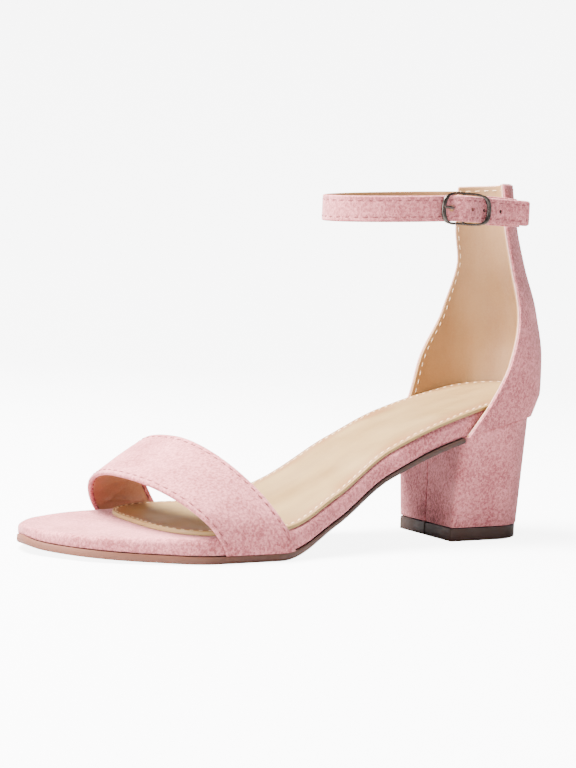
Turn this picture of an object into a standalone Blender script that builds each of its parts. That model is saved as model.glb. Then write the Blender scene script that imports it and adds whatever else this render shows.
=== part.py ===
"""Block heel sandal, left shoe: one band over the toes, a closed counter with an ankle strap, and a block heel.

The toe points along -X, the outer side of the foot faces -Y, and the floor is z = 0. The origin is the
middle of the heel's tread. Every size is in metres.

The shapes are worked out in the shoemaker's own three measures, and turned into the model's frame last:
along (from the back of the heel towards the toe), outward (from the middle line towards the outer side of
the foot) and height (above the floor).
"""

import math

import bmesh
import bpy
import numpy as np

# Clearance between pieces that meet
GAP = 0.0003

# Sole and last
SOLE_LENGTH = 0.240
BALL_WIDTH = 0.082
SEAT_RISE = 0.0536
OUTSOLE_BALL = 0.0030
OUTSOLE_ARCH = 0.0021
SHANK_END = 0.50
BALL_START = 0.62
TOE_START = 0.80
BALL_TILT = 0.015
BOARD_THICKNESS = 0.0085
BOARD_ROUND = 0.0020
INSOLE_THICKNESS = 0.0016
INSOLE_MARGIN = 0.0030
INSOLE_TOE = 0.195
INSOLE_ROUND_START = 0.155
INSOLE_ROUND_POWER = 3.3
SEAT_INSET = 0.0012
SEAT_INSET_START = 0.064
SEAT_INSET_END = 0.086
SEAT_SWEEP = 0.0046
SEAT_MIDDLE = 0.036

# Heel block and its top piece
HEEL_WIDTH = 0.0427
HEEL_TOP_WIDTH = 0.0560
HEEL_BREAST = 0.0477
HEEL_BACK = 0.0018
BREAST_SKEW = 0.080
BREAST_CORNER_TOP = 0.0045
BREAST_CORNER_LOW = 0.0016
TIP_HEIGHT = 0.0058
TIP_INSET = 0.0004
TIP_CHAMFER = 0.0004
TIP_CORNER = 0.0010

# Band over the toes
BAND_FRONT_OUTER = 0.177
BAND_FRONT_INNER = 0.188
BAND_FOOT_OUTER = 0.032
BAND_FOOT_INNER = 0.028
BAND_FRONT_HEIGHT = 0.028
BAND_REAR_HEIGHT = 0.042
BAND_LEAN = 0.0235
BAND_LEG = 0.0075
BAND_THICKNESS = 0.0019
BAND_SKIVE = 0.0010
BAND_PROUD = 0.0011

# Counter
COUNTER_TOP = 0.1574
COUNTER_TOP_SLOPE = -0.075
COUNTER_TOP_TILT = 0.020
COUNTER_WALL = 0.0022

# Ankle strap: an ellipse round the ankle, with a straight buckled stretch on the outer side
ANKLE_MIDDLE = 0.0589
ANKLE_HALF_LENGTH = 0.0472
ANKLE_HALF_WIDTH = 0.0250
ANKLE_HEIGHT = 0.1452
ANKLE_SLOPE = -0.079
ANKLE_TILT = -0.046
STRAP_WIDTH = 0.0110
STRAP_THICKNESS = 0.0016
STRAP_LAP = 0.0110
STRAP_OUTER_LINE = 0.0242
TAIL_END = 0.0193
TAIL_SPREAD = 0.0012
RING_START = 0.0070
RING_END = math.radians(76)
HOLE_PITCH = 0.0089
HOLE_RADIUS = 0.0009
PRONG_HOLE_RADIUS = 0.0014
PRONG_HOLE_AHEAD = 0.0069

# Buckle
BUCKLE_MIDDLE = 0.0550
BUCKLE_HALF_LENGTH = 0.0123
BUCKLE_WIRE = 0.0009
BUCKLE_ROOM = 0.0006
BUCKLE_LINE = 0.0270
BUCKLE_DIP = 0.0020
BAR_WIRE = 0.00065
PRONG_WIRE = 0.00055
PRONG_DIP = 0.0009
PRONG_PLAY = 0.0004
TAB_THICKNESS = 0.0008
TAB_HALF_HEIGHT = 0.0046
TAB_ROOT_HALF_HEIGHT = 0.0062
TAB_FOLD_HALF = 0.0002
TAB_LAP = 0.0080
WEAVE_RISE = 0.00315
WEAVE_HALF_LENGTH = 0.0110

# Sole sections. Share: of the sole's length. Outer and inner: half widths, shares of the ball width.
# Rise: underside above the floor, share of the seat rise. Board: share of the board's thickness.
# Margin: how far the insole's edge lies inside the sole's, share of the widest margin.
SOLE_COLUMNS = ("share", "outer", "inner", "rise", "board", "margin")
SOLE_ROWS = (
    (0.000, 0.000, 0.000, 1.000, 1.24, 0.48),
    (0.017, 0.173, 0.170, 0.994, 1.23, 0.48),
    (0.067, 0.305, 0.303, 0.968, 1.14, 0.48),
    (0.146, 0.343, 0.341, 0.894, 1.02, 0.48),
    (0.250, 0.354, 0.328, 0.763, 1.00, 0.42),
    (0.371, 0.355, 0.285, 0.545, 1.00, 0.40),
    (0.500, 0.435, 0.305, 0.222, 1.00, 0.45),
    (0.629, 0.526, 0.399, 0.000, 0.96, 0.55),
    (0.750, 0.520, 0.470, 0.000, 0.82, 0.50),
    (0.854, 0.422, 0.460, 0.013, 0.70, 0.50),
    (0.933, 0.278, 0.388, 0.028, 0.60, 0.50),
    (0.983, 0.076, 0.234, 0.043, 0.55, 0.50),
    (1.000, -0.074, 0.074, 0.082, 0.53, 0.50),
)

# Counter sections from the seat to the top line. Share: of the height. Swell: how far the back stands out
# behind the seat, and middle: place of the widest point, shares of the sole's length. Flares: spread of the
# two sides, shares of the ball width. Edges: places of the front edges, shares of the sole's length.
COUNTER_COLUMNS = ("share", "swell", "middle", "outer_flare", "inner_flare", "outer_edge", "inner_edge")
COUNTER_ROWS = (
    (0.00, 0.001, 0.138, 0.000, 0.000, 0.206, 0.190),
    (0.05, 0.012, 0.133, 0.004, 0.002, 0.182, 0.177),
    (0.10, 0.020, 0.129, 0.009, 0.004, 0.161, 0.161),
    (0.25, 0.021, 0.131, 0.017, 0.005, 0.119, 0.141),
    (0.45, 0.005, 0.153, 0.013, -0.001, 0.098, 0.100),
    (0.65, -0.025, 0.191, -0.005, -0.015, 0.110, 0.088),
    (0.82, -0.044, 0.220, -0.025, -0.030, 0.121, 0.102),
    (1.00, -0.056, 0.244, -0.044, -0.044, 0.125, 0.108),
)

# Toe band, front edge to rear edge. Roundness: exponent of the arch on each side (2 is an ellipse).
# Lean power: how the forward lean grows with height. Crest: how far the crest lies to the inner side,
# share of the ball width.
BAND_COLUMNS = ("share", "outer_round", "inner_round", "lean_power", "crest")
BAND_ROWS = (
    (0.0, 2.50, 1.65, 1.30, 0.026),
    (1.0, 1.85, 2.60, 1.10, 0.068),
)

# Part of the band's half turn that is its upright leg, at each foot
LEG_TURN = 0.08 * math.pi

# Numbers of sections and steps
SOLE_STATIONS = 45
COUNTER_STATIONS = 33
COUNTER_LEVELS = (0, 0.025, 0.05, 0.075, 0.1, 0.15, 0.2, 0.28, 0.36, 0.45, 0.55, 0.65, 0.75, 0.88, 1.0)
BAND_STATIONS = 35
BAND_STEPS = 7


def column(rows, names, name):
    """One named column of a table of rows."""
    return np.array([row[names.index(name)] for row in rows], float)


def flow(at, places, values):
    """Smooth curve through a table's values, which never overshoots them."""
    at = np.asarray(at, float)
    step = np.diff(places)
    slope = np.diff(values) / step
    tangent = np.empty(len(places))
    tangent[0], tangent[-1] = slope[0], slope[-1]
    before, after = slope[:-1], slope[1:]
    level = before * after <= 0
    total = np.where(level, 1.0, before + after)
    tangent[1:-1] = np.where(level, 0.0, 2 * before * after / total)
    i = np.clip(np.searchsorted(places, at) - 1, 0, len(step) - 1)
    u = np.clip((at - places[i]) / step[i], 0.0, 1.0)
    rise = (2 * u**3 - 3 * u**2 + 1) * values[i] + (3 * u**2 - 2 * u**3) * values[i + 1]
    bend = (u**3 - 2 * u**2 + u) * tangent[i] + (u**3 - u**2) * tangent[i + 1]
    return rise + bend * step[i]


def ease(value, low, high):
    """Smooth step from 0 at low to 1 at high."""
    u = np.clip((np.asarray(value, float) - low) / (high - low), 0.0, 1.0)
    return u * u * (3 - 2 * u)


def sole_value(name, along):
    """A column of the sole's table at a place along the sole, eased like the turn of its two ends."""
    places = np.arccos(1 - 2 * column(SOLE_ROWS, SOLE_COLUMNS, "share"))
    share = np.clip(np.asarray(along, float) / SOLE_LENGTH, 0.0, 1.0)
    return flow(np.arccos(1 - 2 * share), places, column(SOLE_ROWS, SOLE_COLUMNS, name))


def sole_side(along, side):
    """Outward place of the sole's edge: side is +1 on the outer side and -1 on the inner side."""
    name = "outer" if side > 0 else "inner"
    return side * BALL_WIDTH * sole_value(name, along)


def sole_rise(along):
    """Height of the outsole's underside."""
    return SEAT_RISE * sole_value("rise", along)


def seat(along):
    """Height of the outsole's top, which runs on as the top of the heel block."""
    grow = ease(np.asarray(along) / SOLE_LENGTH, SHANK_END, BALL_START)
    return sole_rise(along) + OUTSOLE_ARCH + (OUTSOLE_BALL - OUTSOLE_ARCH) * grow


def board_top(along, outward):
    """Height of the midsole's top, which is raised a little towards the inner side at the ball."""
    share = np.asarray(along) / SOLE_LENGTH
    raised = BALL_TILT * ease(share, SHANK_END, BALL_START) * (1 - ease(share, TOE_START, 1.0))
    thick = BOARD_THICKNESS * sole_value("board", along)
    return seat(along) + GAP + thick + raised * (sole_side(along, 1) - outward)


def breast(outward):
    """Place of the heel's front face, which stands slightly askew."""
    return HEEL_BREAST + BREAST_SKEW * outward


def to_model(points):
    """Points in (along, outward, height) in the model's own frame."""
    points = np.asarray(points, float)
    middle = (HEEL_BREAST + HEEL_BACK) / 2
    return np.stack([middle - points[..., 0], -points[..., 1], points[..., 2]], -1)


def plan_normals(points):
    """Unit normals in plan, to the right of the way the points run."""
    run = np.gradient(points, axis=0)
    normal = np.stack([run[..., 1], -run[..., 0]], -1)
    return normal / np.linalg.norm(normal, axis=-1, keepdims=True)


def add_object(name, mesh, colour, roughness, metallic=0.0):
    """An object in the sandal's collection, with its own material."""
    material = bpy.data.materials.new(name)
    material.use_nodes = True
    shader = material.node_tree.nodes["Principled BSDF"]
    shader.inputs["Base Color"].default_value = (*colour, 1.0)
    shader.inputs["Roughness"].default_value = roughness
    shader.inputs["Metallic"].default_value = metallic
    mesh.materials.append(material)
    piece = bpy.data.objects.new(name, mesh)
    collection("block_heel_sandal").objects.link(piece)
    return piece


def collection(name):
    """The collection of that name, made when it is first asked for."""
    found = bpy.data.collections.get(name)
    if found is None:
        found = bpy.data.collections.new(name)
        bpy.context.scene.collection.children.link(found)
    return found


def closed_mesh(name, points, faces, smooth_angle=35.0):
    """A mesh from points and faces, with double points merged and faces turned outwards."""
    shape = bmesh.new()
    corners = [shape.verts.new(point) for point in to_model(points)]
    for face in faces:
        shape.faces.new([corners[i] for i in face])
    bmesh.ops.remove_doubles(shape, verts=shape.verts, dist=1e-6)
    bmesh.ops.recalc_face_normals(shape, faces=shape.faces)
    mesh = bpy.data.meshes.new(name)
    shape.to_mesh(mesh)
    shape.free()
    mesh.shade_smooth()
    mesh.set_sharp_from_angle(angle=math.radians(smooth_angle))
    return mesh


def layer(name, loops):
    """A solid lofted through loops from bottom to top.

    Each loop runs from the back along the outer side to the front, and then back along the inner side.
    The underside and the top are strips from side to side.
    """
    loops = np.asarray(loops)
    count = loops.shape[1]
    half = count // 2
    faces = []
    for level in range(len(loops) - 1):
        for i in range(count):
            j = (i + 1) % count
            a, b = level * count, (level + 1) * count
            faces.append((a + i, a + j, b + j, b + i))
    for i in range(half - 1):
        strip = (i, i + 1, count - 2 - i, count - 1 - i)
        faces.append(tuple(reversed(strip)))
        top = (len(loops) - 1) * count
        faces.append(tuple(top + k for k in strip))
    return closed_mesh(name, loops.reshape(-1, 3), faces)


def shell(name, inner, outer):
    """A wall between two grids of points, closed along its four edges."""
    rows, steps = inner.shape[:2]
    offset = rows * steps

    def index(row, step, grid):
        return grid * offset + row * steps + step

    faces = []
    for grid in (0, 1):
        for row in range(rows - 1):
            for step in range(steps - 1):
                corners = ((row, step), (row, step + 1), (row + 1, step + 1), (row + 1, step))
                face = [index(r, s, grid) for r, s in corners]
                faces.append(face if grid else face[::-1])
    rim = [(0, s) for s in range(steps)] + [(r, steps - 1) for r in range(1, rows)]
    rim += [(rows - 1, s) for s in range(steps - 2, -1, -1)] + [(r, 0) for r in range(rows - 2, 0, -1)]
    for (r0, s0), (r1, s1) in zip(rim, rim[1:] + rim[:1]):
        faces.append((index(r0, s0, 0), index(r1, s1, 0), index(r1, s1, 1), index(r0, s0, 1)))
    points = np.concatenate([inner.reshape(-1, 3), outer.reshape(-1, 3)])
    return closed_mesh(name, points, faces)


def sole_loop(inset, start=(0.0, 0.0)):
    """Plan outline of the sole, moved inwards by inset(along), from start on the outer and inner sides."""
    sides = []
    for side, first in zip((1, -1), start):
        turn = np.linspace(math.acos(1 - 2 * first / SOLE_LENGTH), math.pi, SOLE_STATIONS)
        along = SOLE_LENGTH * (1 - np.cos(turn)) / 2
        sides.append(np.stack([along, sole_side(along, side)], -1))
    normals = []
    for side, points in zip((1, -1), sides):
        normal = plan_normals(points) * -side
        if start[0] == 0.0:
            normal[0] = (-1.0, 0.0)
        normal[-1] = (1.0, 0.0)
        normals.append(normal)
    moved = [points - normal * np.atleast_1d(inset(points[:, 0]))[:, None]
             for points, normal in zip(sides, normals)]
    return np.concatenate([moved[0], moved[1][::-1]])


def make_outsole():
    """Thin moulded sheet from the toe to the heel's front face."""
    start = [breast(sole_side(HEEL_BREAST, side)) + GAP for side in (1, -1)]
    loops = []
    for inset, share in ((0.0006, 0.0), (0.0, 0.3), (0.0, 1.0)):
        loop = sole_loop(lambda along, inset=inset: inset + 0 * along, start)
        low, high = sole_rise(loop[:, 0]), seat(loop[:, 0])
        loops.append(np.column_stack([loop, low + (high - low) * share]))
    return add_object("outsole", layer("outsole", loops), (0.30, 0.16, 0.11), 0.55)


def seat_inset(along):
    """How far the midsole lies inside the sole's outline, to make room for the counter's wall."""
    return GAP + SEAT_INSET * (1 - ease(along, SEAT_INSET_START, SEAT_INSET_END))


def make_midsole():
    """Covered board with rounded top edge, on the outsole and the heel block."""
    profile = ((0.4, 0.0), (0.0, 0.2), (0.0, 0.55), (0.25, 0.85), (1.0, 1.0))
    loops = []
    for tuck, share in profile:
        loop = sole_loop(lambda along, tuck=tuck: seat_inset(along) + tuck * BOARD_ROUND)
        low, high = seat(loop[:, 0]) + GAP, board_top(*loop.T)
        loops.append(np.column_stack([loop, low + (high - low) * share]))
    return add_object("midsole", layer("midsole", loops), (0.80, 0.56, 0.57), 0.95)


def insole_loop(tuck):
    """Plan outline of the insole: inside the sole's own by its margin, less a tuck, with a blunt round toe.

    Over the seat it is swept back under the counter's swell.
    """
    turn = np.linspace(0, math.pi, SOLE_STATIONS)
    along = INSOLE_TOE * (1 - np.cos(turn)) / 2
    reach = np.clip((along - INSOLE_ROUND_START) / (INSOLE_TOE - INSOLE_ROUND_START), 0, 1)
    taper = (1 - reach ** INSOLE_ROUND_POWER) ** (1 / INSOLE_ROUND_POWER)
    outer, inner = sole_side(along, 1), sole_side(along, -1)
    middle = (outer + inner) / 2
    half = ((outer - inner) / 2 - INSOLE_MARGIN * sole_value("margin", along) - tuck).clip(0) * taper
    back = SEAT_SWEEP * np.clip(1 - along / SEAT_MIDDLE, 0, None) ** 2
    past = INSOLE_MARGIN * sole_value("margin", along) + tuck
    place = along - back + past * (1 - ease(along, 0.0, SEAT_MIDDLE)) - tuck * (1 - taper)
    sides = [np.column_stack([place, middle + side * half]) for side in (1, -1)]
    return np.concatenate([sides[0], sides[1][::-1]])


def make_insole():
    """Thin sock on the midsole."""
    loops = []
    for tuck, share in ((0.0, 0.0), (0.0, 0.6), (0.4, 1.0)):
        loop = insole_loop(tuck * INSOLE_THICKNESS)
        height = board_top(*loop.T) + GAP + INSOLE_THICKNESS * share
        loops.append(np.column_stack([loop, height]))
    return add_object("insole", layer("insole", loops), (0.74, 0.62, 0.44), 0.6)


def heel_loop(half_outer, half_inner, back, front, corner):
    """D-shaped plan: round at the back, straight sides, and rounded corners at the front face."""
    sides = []
    for side, half in ((1, half_outer), (-1, half_inner)):
        turn = np.linspace(0, math.pi / 2, 11)
        round_back = np.column_stack([back + half * (1 - np.cos(turn)), side * half * np.sin(turn)])
        fillet = np.linspace(0, math.pi / 2, 6)
        round_front = np.column_stack([
            front - corner * (1 - np.sin(fillet)), side * (half - corner * (1 - np.cos(fillet)))])
        middle = np.array([[front, 0.0]])
        sides.append(np.concatenate([round_back, round_front, middle]))
    loop = np.concatenate([sides[0], sides[1][::-1]])
    reach = np.clip((loop[:, 0] - back) / (front - back), 0, 1)
    loop[:, 0] += BREAST_SKEW * loop[:, 1] * reach
    return loop


def make_heel():
    """Covered block, tapering down from the seat."""
    loops = []
    for share in (0.0, 0.25, 0.5, 0.75, 1.0):
        half = HEEL_WIDTH / 2 + (HEEL_TOP_WIDTH - HEEL_WIDTH) / 2 * share
        corner = BREAST_CORNER_LOW + (BREAST_CORNER_TOP - BREAST_CORNER_LOW) * share
        loop = heel_loop(half, half, HEEL_BACK * (1 - share), HEEL_BREAST, corner)
        low = TIP_HEIGHT + GAP
        loops.append(np.column_stack([loop, low + (seat(loop[:, 0]) - low) * share]))
    return add_object("heel", layer("heel", loops), (0.78, 0.53, 0.54), 0.95)


def make_heel_tip():
    """Top piece of the heel, which stands on the floor."""
    loops = []
    for inset, height in ((TIP_CHAMFER, 0.0), (0.0, TIP_CHAMFER), (0.0, TIP_HEIGHT)):
        edge = TIP_INSET + inset
        half = HEEL_WIDTH / 2 - edge
        loop = heel_loop(half, half, HEEL_BACK + edge, HEEL_BREAST - inset, TIP_CORNER)
        loops.append(np.column_stack([loop, np.full(len(loop), height)]))
    return add_object("heel_tip", layer("heel_tip", loops), (0.10, 0.06, 0.045), 0.6)


def band_point(turn, share):
    """Outer surface of the toe band: turn runs from the outer foot (0) to the inner foot (pi)."""
    value = {name: np.interp(share, (0, 1), column(BAND_ROWS, BAND_COLUMNS, name))
             for name in BAND_COLUMNS}
    height = BAND_FRONT_HEIGHT + (BAND_REAR_HEIGHT - BAND_FRONT_HEIGHT) * share
    outer_along = BAND_FRONT_OUTER - BAND_FOOT_OUTER * share
    inner_along = BAND_FRONT_INNER - BAND_FOOT_INNER * share
    leg = np.clip(np.minimum(turn, math.pi - turn) / LEG_TURN, 0, 1)
    leg_lean = BAND_LEAN * (BAND_LEG * leg / height) ** value["lean_power"]
    outer_edge = sole_side(outer_along + leg_lean, 1) + BAND_PROUD
    inner_edge = sole_side(inner_along + leg_lean, -1) - BAND_PROUD
    arch = np.clip((turn - LEG_TURN) / (math.pi - 2 * LEG_TURN), 0, 1) * math.pi
    power = 2 / np.where(arch < math.pi / 2, value["outer_round"], value["inner_round"])
    across = (1 - np.sign(np.cos(arch)) * np.abs(np.cos(arch)) ** power) / 2
    rise = np.sin(arch).clip(0) ** power
    lift = BAND_LEG * leg + (height - BAND_LEG) * rise
    along = outer_along + (inner_along - outer_along) * across
    along = along + BAND_LEAN * (lift / height) ** value["lean_power"]
    outward = outer_edge + (inner_edge - outer_edge) * across - BALL_WIDTH * value["crest"] * rise
    foot = seat(outer_along) + (seat(inner_along) - seat(outer_along)) * across + GAP
    return np.stack([along, outward, foot + lift], -1)


def grid_normals(grid):
    """Unit normals of a grid of points, from its rows and steps."""
    normal = np.cross(np.gradient(grid, axis=0), np.gradient(grid, axis=1))
    return normal / np.linalg.norm(normal, axis=-1, keepdims=True)


def make_vamp_strap():
    """Wide band over the toes, thinned at its two feet, which stand outside the midsole."""
    legs = LEG_TURN * np.array([0.0, 0.5])
    arch = np.linspace(LEG_TURN, math.pi - LEG_TURN, BAND_STATIONS - 4)
    turns = np.concatenate([legs, arch, math.pi - legs[::-1]])
    shares = np.linspace(0, 1, BAND_STEPS)
    outer = np.stack([band_point(turns, share) for share in shares], 1)
    normals = grid_normals(outer)
    normals *= np.sign(normals[len(turns) // 2, BAND_STEPS // 2, 2])
    normals[:2] = (0.0, 1.0, 0.0)
    normals[-2:] = (0.0, -1.0, 0.0)
    body = ease(np.minimum(turns, math.pi - turns), LEG_TURN / 2, 2.5 * LEG_TURN)
    thickness = BAND_SKIVE + (BAND_THICKNESS - BAND_SKIVE) * body
    inner = outer - normals * thickness[:, None, None]
    return add_object("vamp_strap", shell("vamp_strap", inner, outer), (0.80, 0.56, 0.57), 0.95)


def counter_value(name, share):
    """A column of the counter's table at a share of its height."""
    return flow(share, column(COUNTER_ROWS, COUNTER_COLUMNS, "share"),
                column(COUNTER_ROWS, COUNTER_COLUMNS, name))


def counter_line(share, side, around):
    """Inner face of the counter at one share of its height, on one side.

    Around runs from 0 at the back to 1 at the front edge. The lowest sections follow the sole's outline,
    and the upper ones are half ellipses.
    """
    back = SEAT_INSET - SOLE_LENGTH * counter_value("swell", share)
    middle = SOLE_LENGTH * counter_value("middle", share)
    name = "outer" if side > 0 else "inner"
    edge = SOLE_LENGTH * counter_value(name + "_edge", share)
    reach = middle - back
    last = np.where(edge < middle, np.arccos(np.clip(1 - (edge - back) / reach, -1, 1)),
                    math.pi / 2 + (edge - middle) / reach)
    turn = around * last
    past = np.clip(turn - math.pi / 2, 0, None)
    curve = np.minimum(turn, math.pi / 2)
    along = back + reach * (1 - np.cos(curve)) + reach * past
    seat_along = SEAT_MIDDLE * (1 - np.cos(curve)) + SEAT_MIDDLE * past
    low_half = side * sole_side(seat_along, side)
    high_half = side * sole_side(SEAT_MIDDLE, side) * np.sin(curve)
    half = low_half + (high_half - low_half) * ease(share, 0.05, 0.40)
    spread = GAP / 2 - SEAT_INSET + BALL_WIDTH * counter_value(name + "_flare", share)
    return np.stack([along, side * (half + spread * np.sin(curve))], -1)


def counter_section(share, around):
    """Inner and outer faces of the counter in plan: around runs from -1, inner edge, to 1, outer edge."""
    sides = [counter_line(share, side, np.abs(around[around * side >= 0])) for side in (-1, 1)]
    inner = np.concatenate([sides[0], sides[1][1:]])
    outer = inner - plan_normals(inner) * COUNTER_WALL
    return inner, outer


def counter_top(along, outward):
    """Height of the counter's top line."""
    return COUNTER_TOP + COUNTER_TOP_SLOPE * (along - 0.010) + COUNTER_TOP_TILT * outward


def counter_grids():
    """Inner and outer faces of the counter, from the inner edge to the outer edge and from the seat up."""
    around = np.linspace(-1, 1, COUNTER_STATIONS)
    faces = ([], [])
    for share in COUNTER_LEVELS:
        inner, outer = counter_section(share, around)
        low = seat(np.clip(inner[:, 0], 0, None)) + GAP
        height = low + (counter_top(*inner.T) - low) * share
        for face, plan in zip(faces, (inner, outer)):
            face.append(np.column_stack([plan, height]))
    return [np.stack(face, 1) for face in faces]


def make_counter():
    """Hollow back of the upper, open to the front, on the heel block and outside the midsole."""
    return add_object("counter", shell("counter", *counter_grids()), (0.79, 0.54, 0.55), 0.95)


def ankle_height(along, outward):
    """Height of the ankle strap's middle line, which lies level behind the buckle."""
    level = np.where(outward > 0, np.maximum(along, ANKLE_MIDDLE), along)
    return ANKLE_HEIGHT + ANKLE_SLOPE * (level - ANKLE_MIDDLE) + ANKLE_TILT * outward


def wing_line(side, level, length):
    """Outer face of the counter's wing, over the last length before its front edge.

    Level is the height above the strap's middle line, and the line is followed where that height crosses
    the leaning wing.
    """
    middle = COUNTER_STATIONS // 2
    face = counter_grids()[1]
    columns = face[middle:] if side > 0 else face[middle::-1]
    line = []
    for points in columns:
        plan = points[-2, :2]
        for _ in range(4):
            height = ankle_height(*plan) + level
            plan = np.array([np.interp(height, points[:, 2], points[:, axis]) for axis in (0, 1)])
        line.append(plan)
    line = np.array(line)
    away = np.concatenate([[0], np.cumsum(np.linalg.norm(np.diff(line[::-1], axis=0), axis=1))])[::-1]
    even = np.linspace(length, 0, 9)
    return np.stack([np.interp(-even, -away, line[:, axis]) for axis in (0, 1)], -1)


def outward_normals(line, side):
    """Unit normals in plan of a line on one side of the foot, facing away from it."""
    normal = plan_normals(line)
    return normal * np.sign(normal[-1, 1] * side)


def strap_outer_line(along):
    """Inner face of the strap on the outer side: it weaves over the buckle's bar and runs on as a tail."""
    weave = np.cos(np.clip((along - BUCKLE_MIDDLE) / WEAVE_HALF_LENGTH, -1, 1) * math.pi / 2) ** 2
    tail_start = BUCKLE_MIDDLE - WEAVE_HALF_LENGTH
    spread = np.clip((tail_start - along) / (tail_start - TAIL_END), 0, None)
    return STRAP_OUTER_LINE + WEAVE_RISE * weave + TAIL_SPREAD * spread


def strap_path(level):
    """Inner face of one edge of the ankle strap in plan, from the counter's inner wing to the strap's tail."""
    lap = wing_line(-1, level, STRAP_LAP)
    lap = lap + outward_normals(lap, -1) * GAP
    start = math.acos((lap[-1, 0] + RING_START - ANKLE_MIDDLE) / ANKLE_HALF_LENGTH)
    turn = np.linspace(-start, RING_END, 44)
    ring = np.stack([ANKLE_MIDDLE + ANKLE_HALF_LENGTH * np.cos(turn), ANKLE_HALF_WIDTH * np.sin(turn)], -1)
    along = np.linspace(ring[-1, 0] - 0.003, TAIL_END, 36)
    side = np.stack([along, strap_outer_line(along)], -1)
    points = np.concatenate([lap, ring, side])
    length = np.concatenate([[0], np.cumsum(np.linalg.norm(np.diff(points, axis=0), axis=1))])
    even = np.linspace(0, length[-1], 110)
    return np.stack([flow(even, length, points[:, 0]), flow(even, length, points[:, 1])], -1)


def band(paths, thickness, half_height):
    """Inner and outer grids of a strap between its lower and upper paths, with its face to their right."""
    grids = []
    for proud in (0.0, thickness):
        rows = [np.column_stack([path + plan_normals(path) * proud,
                                 ankle_height(*path.T) + side * half_height])
                for side, path in zip((-1, 1), paths)]
        grids.append(np.stack(rows, 1))
    return grids


def cutter(make, **options):
    """A hidden object that only cuts or joins, made by one of Blender's primitives."""
    make(**options)
    tool = bpy.context.object
    for owner in list(tool.users_collection):
        owner.objects.unlink(tool)
    collection("cutters").objects.link(tool)
    tool.hide_render = True
    tool.display_type = "WIRE"
    return tool


def combine(piece, tool, operation):
    """Cut a tool out of a piece, or join it on."""
    change = piece.modifiers.new(tool.name, "BOOLEAN")
    change.operation = operation
    change.object = tool


def model_place(along, outward, height):
    """One point in the model's frame, as a plain tuple."""
    return tuple(float(value) for value in to_model([along, outward, height]))


def prong_hole_along():
    """Place of the hole that the prong goes through."""
    return BUCKLE_MIDDLE + PRONG_HOLE_AHEAD


def make_ankle_strap():
    """Narrow strap from the counter's inner wing round the ankle, through the buckle, to a free tail."""
    paths = [strap_path(side * STRAP_WIDTH / 2) for side in (-1, 1)]
    grids = band(paths, STRAP_THICKNESS, STRAP_WIDTH / 2)
    piece = add_object("ankle_strap", shell("ankle_strap", *grids), (0.80, 0.56, 0.57), 0.95)
    for number in range(4):
        along = prong_hole_along() - HOLE_PITCH * number
        outward = float(strap_outer_line(along)) + STRAP_THICKNESS / 2
        radius = HOLE_RADIUS if number else PRONG_HOLE_RADIUS
        hole = cutter(
            bpy.ops.mesh.primitive_cylinder_add, vertices=16, radius=radius,
            depth=5 * STRAP_THICKNESS,
            location=model_place(along, outward, float(ankle_height(along, outward))),
            rotation=(math.pi / 2, 0, 0))
        combine(piece, hole, "DIFFERENCE")
    return piece


def buckle_line(along):
    """Outward place of the buckle's side rails, which dip towards the centre bar."""
    reach = np.clip((along - BUCKLE_MIDDLE) / BUCKLE_HALF_LENGTH, -1, 1)
    return BUCKLE_LINE - BUCKLE_DIP * np.cos(reach * math.pi / 2) ** 2


def bar_outward():
    """Outward place of the buckle's centre bar."""
    return BUCKLE_LINE - BUCKLE_DIP


def wire(name, points, radius, closed, resolution=3):
    """A mesh tube along points in (along, outward, height)."""
    curve = bpy.data.curves.new(name, "CURVE")
    curve.dimensions = "3D"
    curve.bevel_depth = radius
    curve.bevel_resolution = resolution
    curve.use_fill_caps = True
    spline = curve.splines.new("POLY")
    spline.points.add(len(points) - 1)
    for target, point in zip(spline.points, to_model(points)):
        target.co = (*point, 1.0)
    spline.use_cyclic_u = closed
    guide = bpy.data.objects.new(name + "_guide", curve)
    bpy.context.scene.collection.objects.link(guide)
    graph = bpy.context.evaluated_depsgraph_get()
    mesh = bpy.data.meshes.new_from_object(guide.evaluated_get(graph))
    bpy.data.objects.remove(guide)
    shape = bmesh.new()
    shape.from_mesh(mesh)
    bmesh.ops.remove_doubles(shape, verts=shape.verts, dist=1e-6)
    bmesh.ops.recalc_face_normals(shape, faces=shape.faces)
    shape.to_mesh(mesh)
    shape.free()
    mesh.name = name
    mesh.materials.clear()
    mesh.shade_smooth()
    mesh.set_sharp_from_angle(angle=math.radians(50))
    return mesh


def make_buckle_frame():
    """Rounded frame with bowed end bars and a centre bar."""
    half_height = STRAP_WIDTH / 2 + BUCKLE_ROOM + BUCKLE_WIRE
    turn = np.linspace(0, 2 * math.pi, 48, endpoint=False)
    power = 2 / 4.5
    along = BUCKLE_MIDDLE + BUCKLE_HALF_LENGTH * np.sign(np.cos(turn)) * np.abs(np.cos(turn)) ** power
    level = half_height * np.sign(np.sin(turn)) * np.abs(np.sin(turn)) ** power
    outward = buckle_line(along)
    points = np.stack([along, outward, ankle_height(along, outward) + level], -1)
    mesh = wire("buckle_frame", points, BUCKLE_WIRE, closed=True)
    piece = add_object("buckle_frame", mesh, (0.35, 0.33, 0.31), 0.3, 1.0)
    middle = float(ankle_height(BUCKLE_MIDDLE, bar_outward()))
    bar = cutter(
        bpy.ops.mesh.primitive_cylinder_add, vertices=16, radius=BAR_WIRE, depth=2 * half_height,
        location=model_place(BUCKLE_MIDDLE, bar_outward(), middle))
    combine(piece, bar, "UNION")
    return piece


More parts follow.
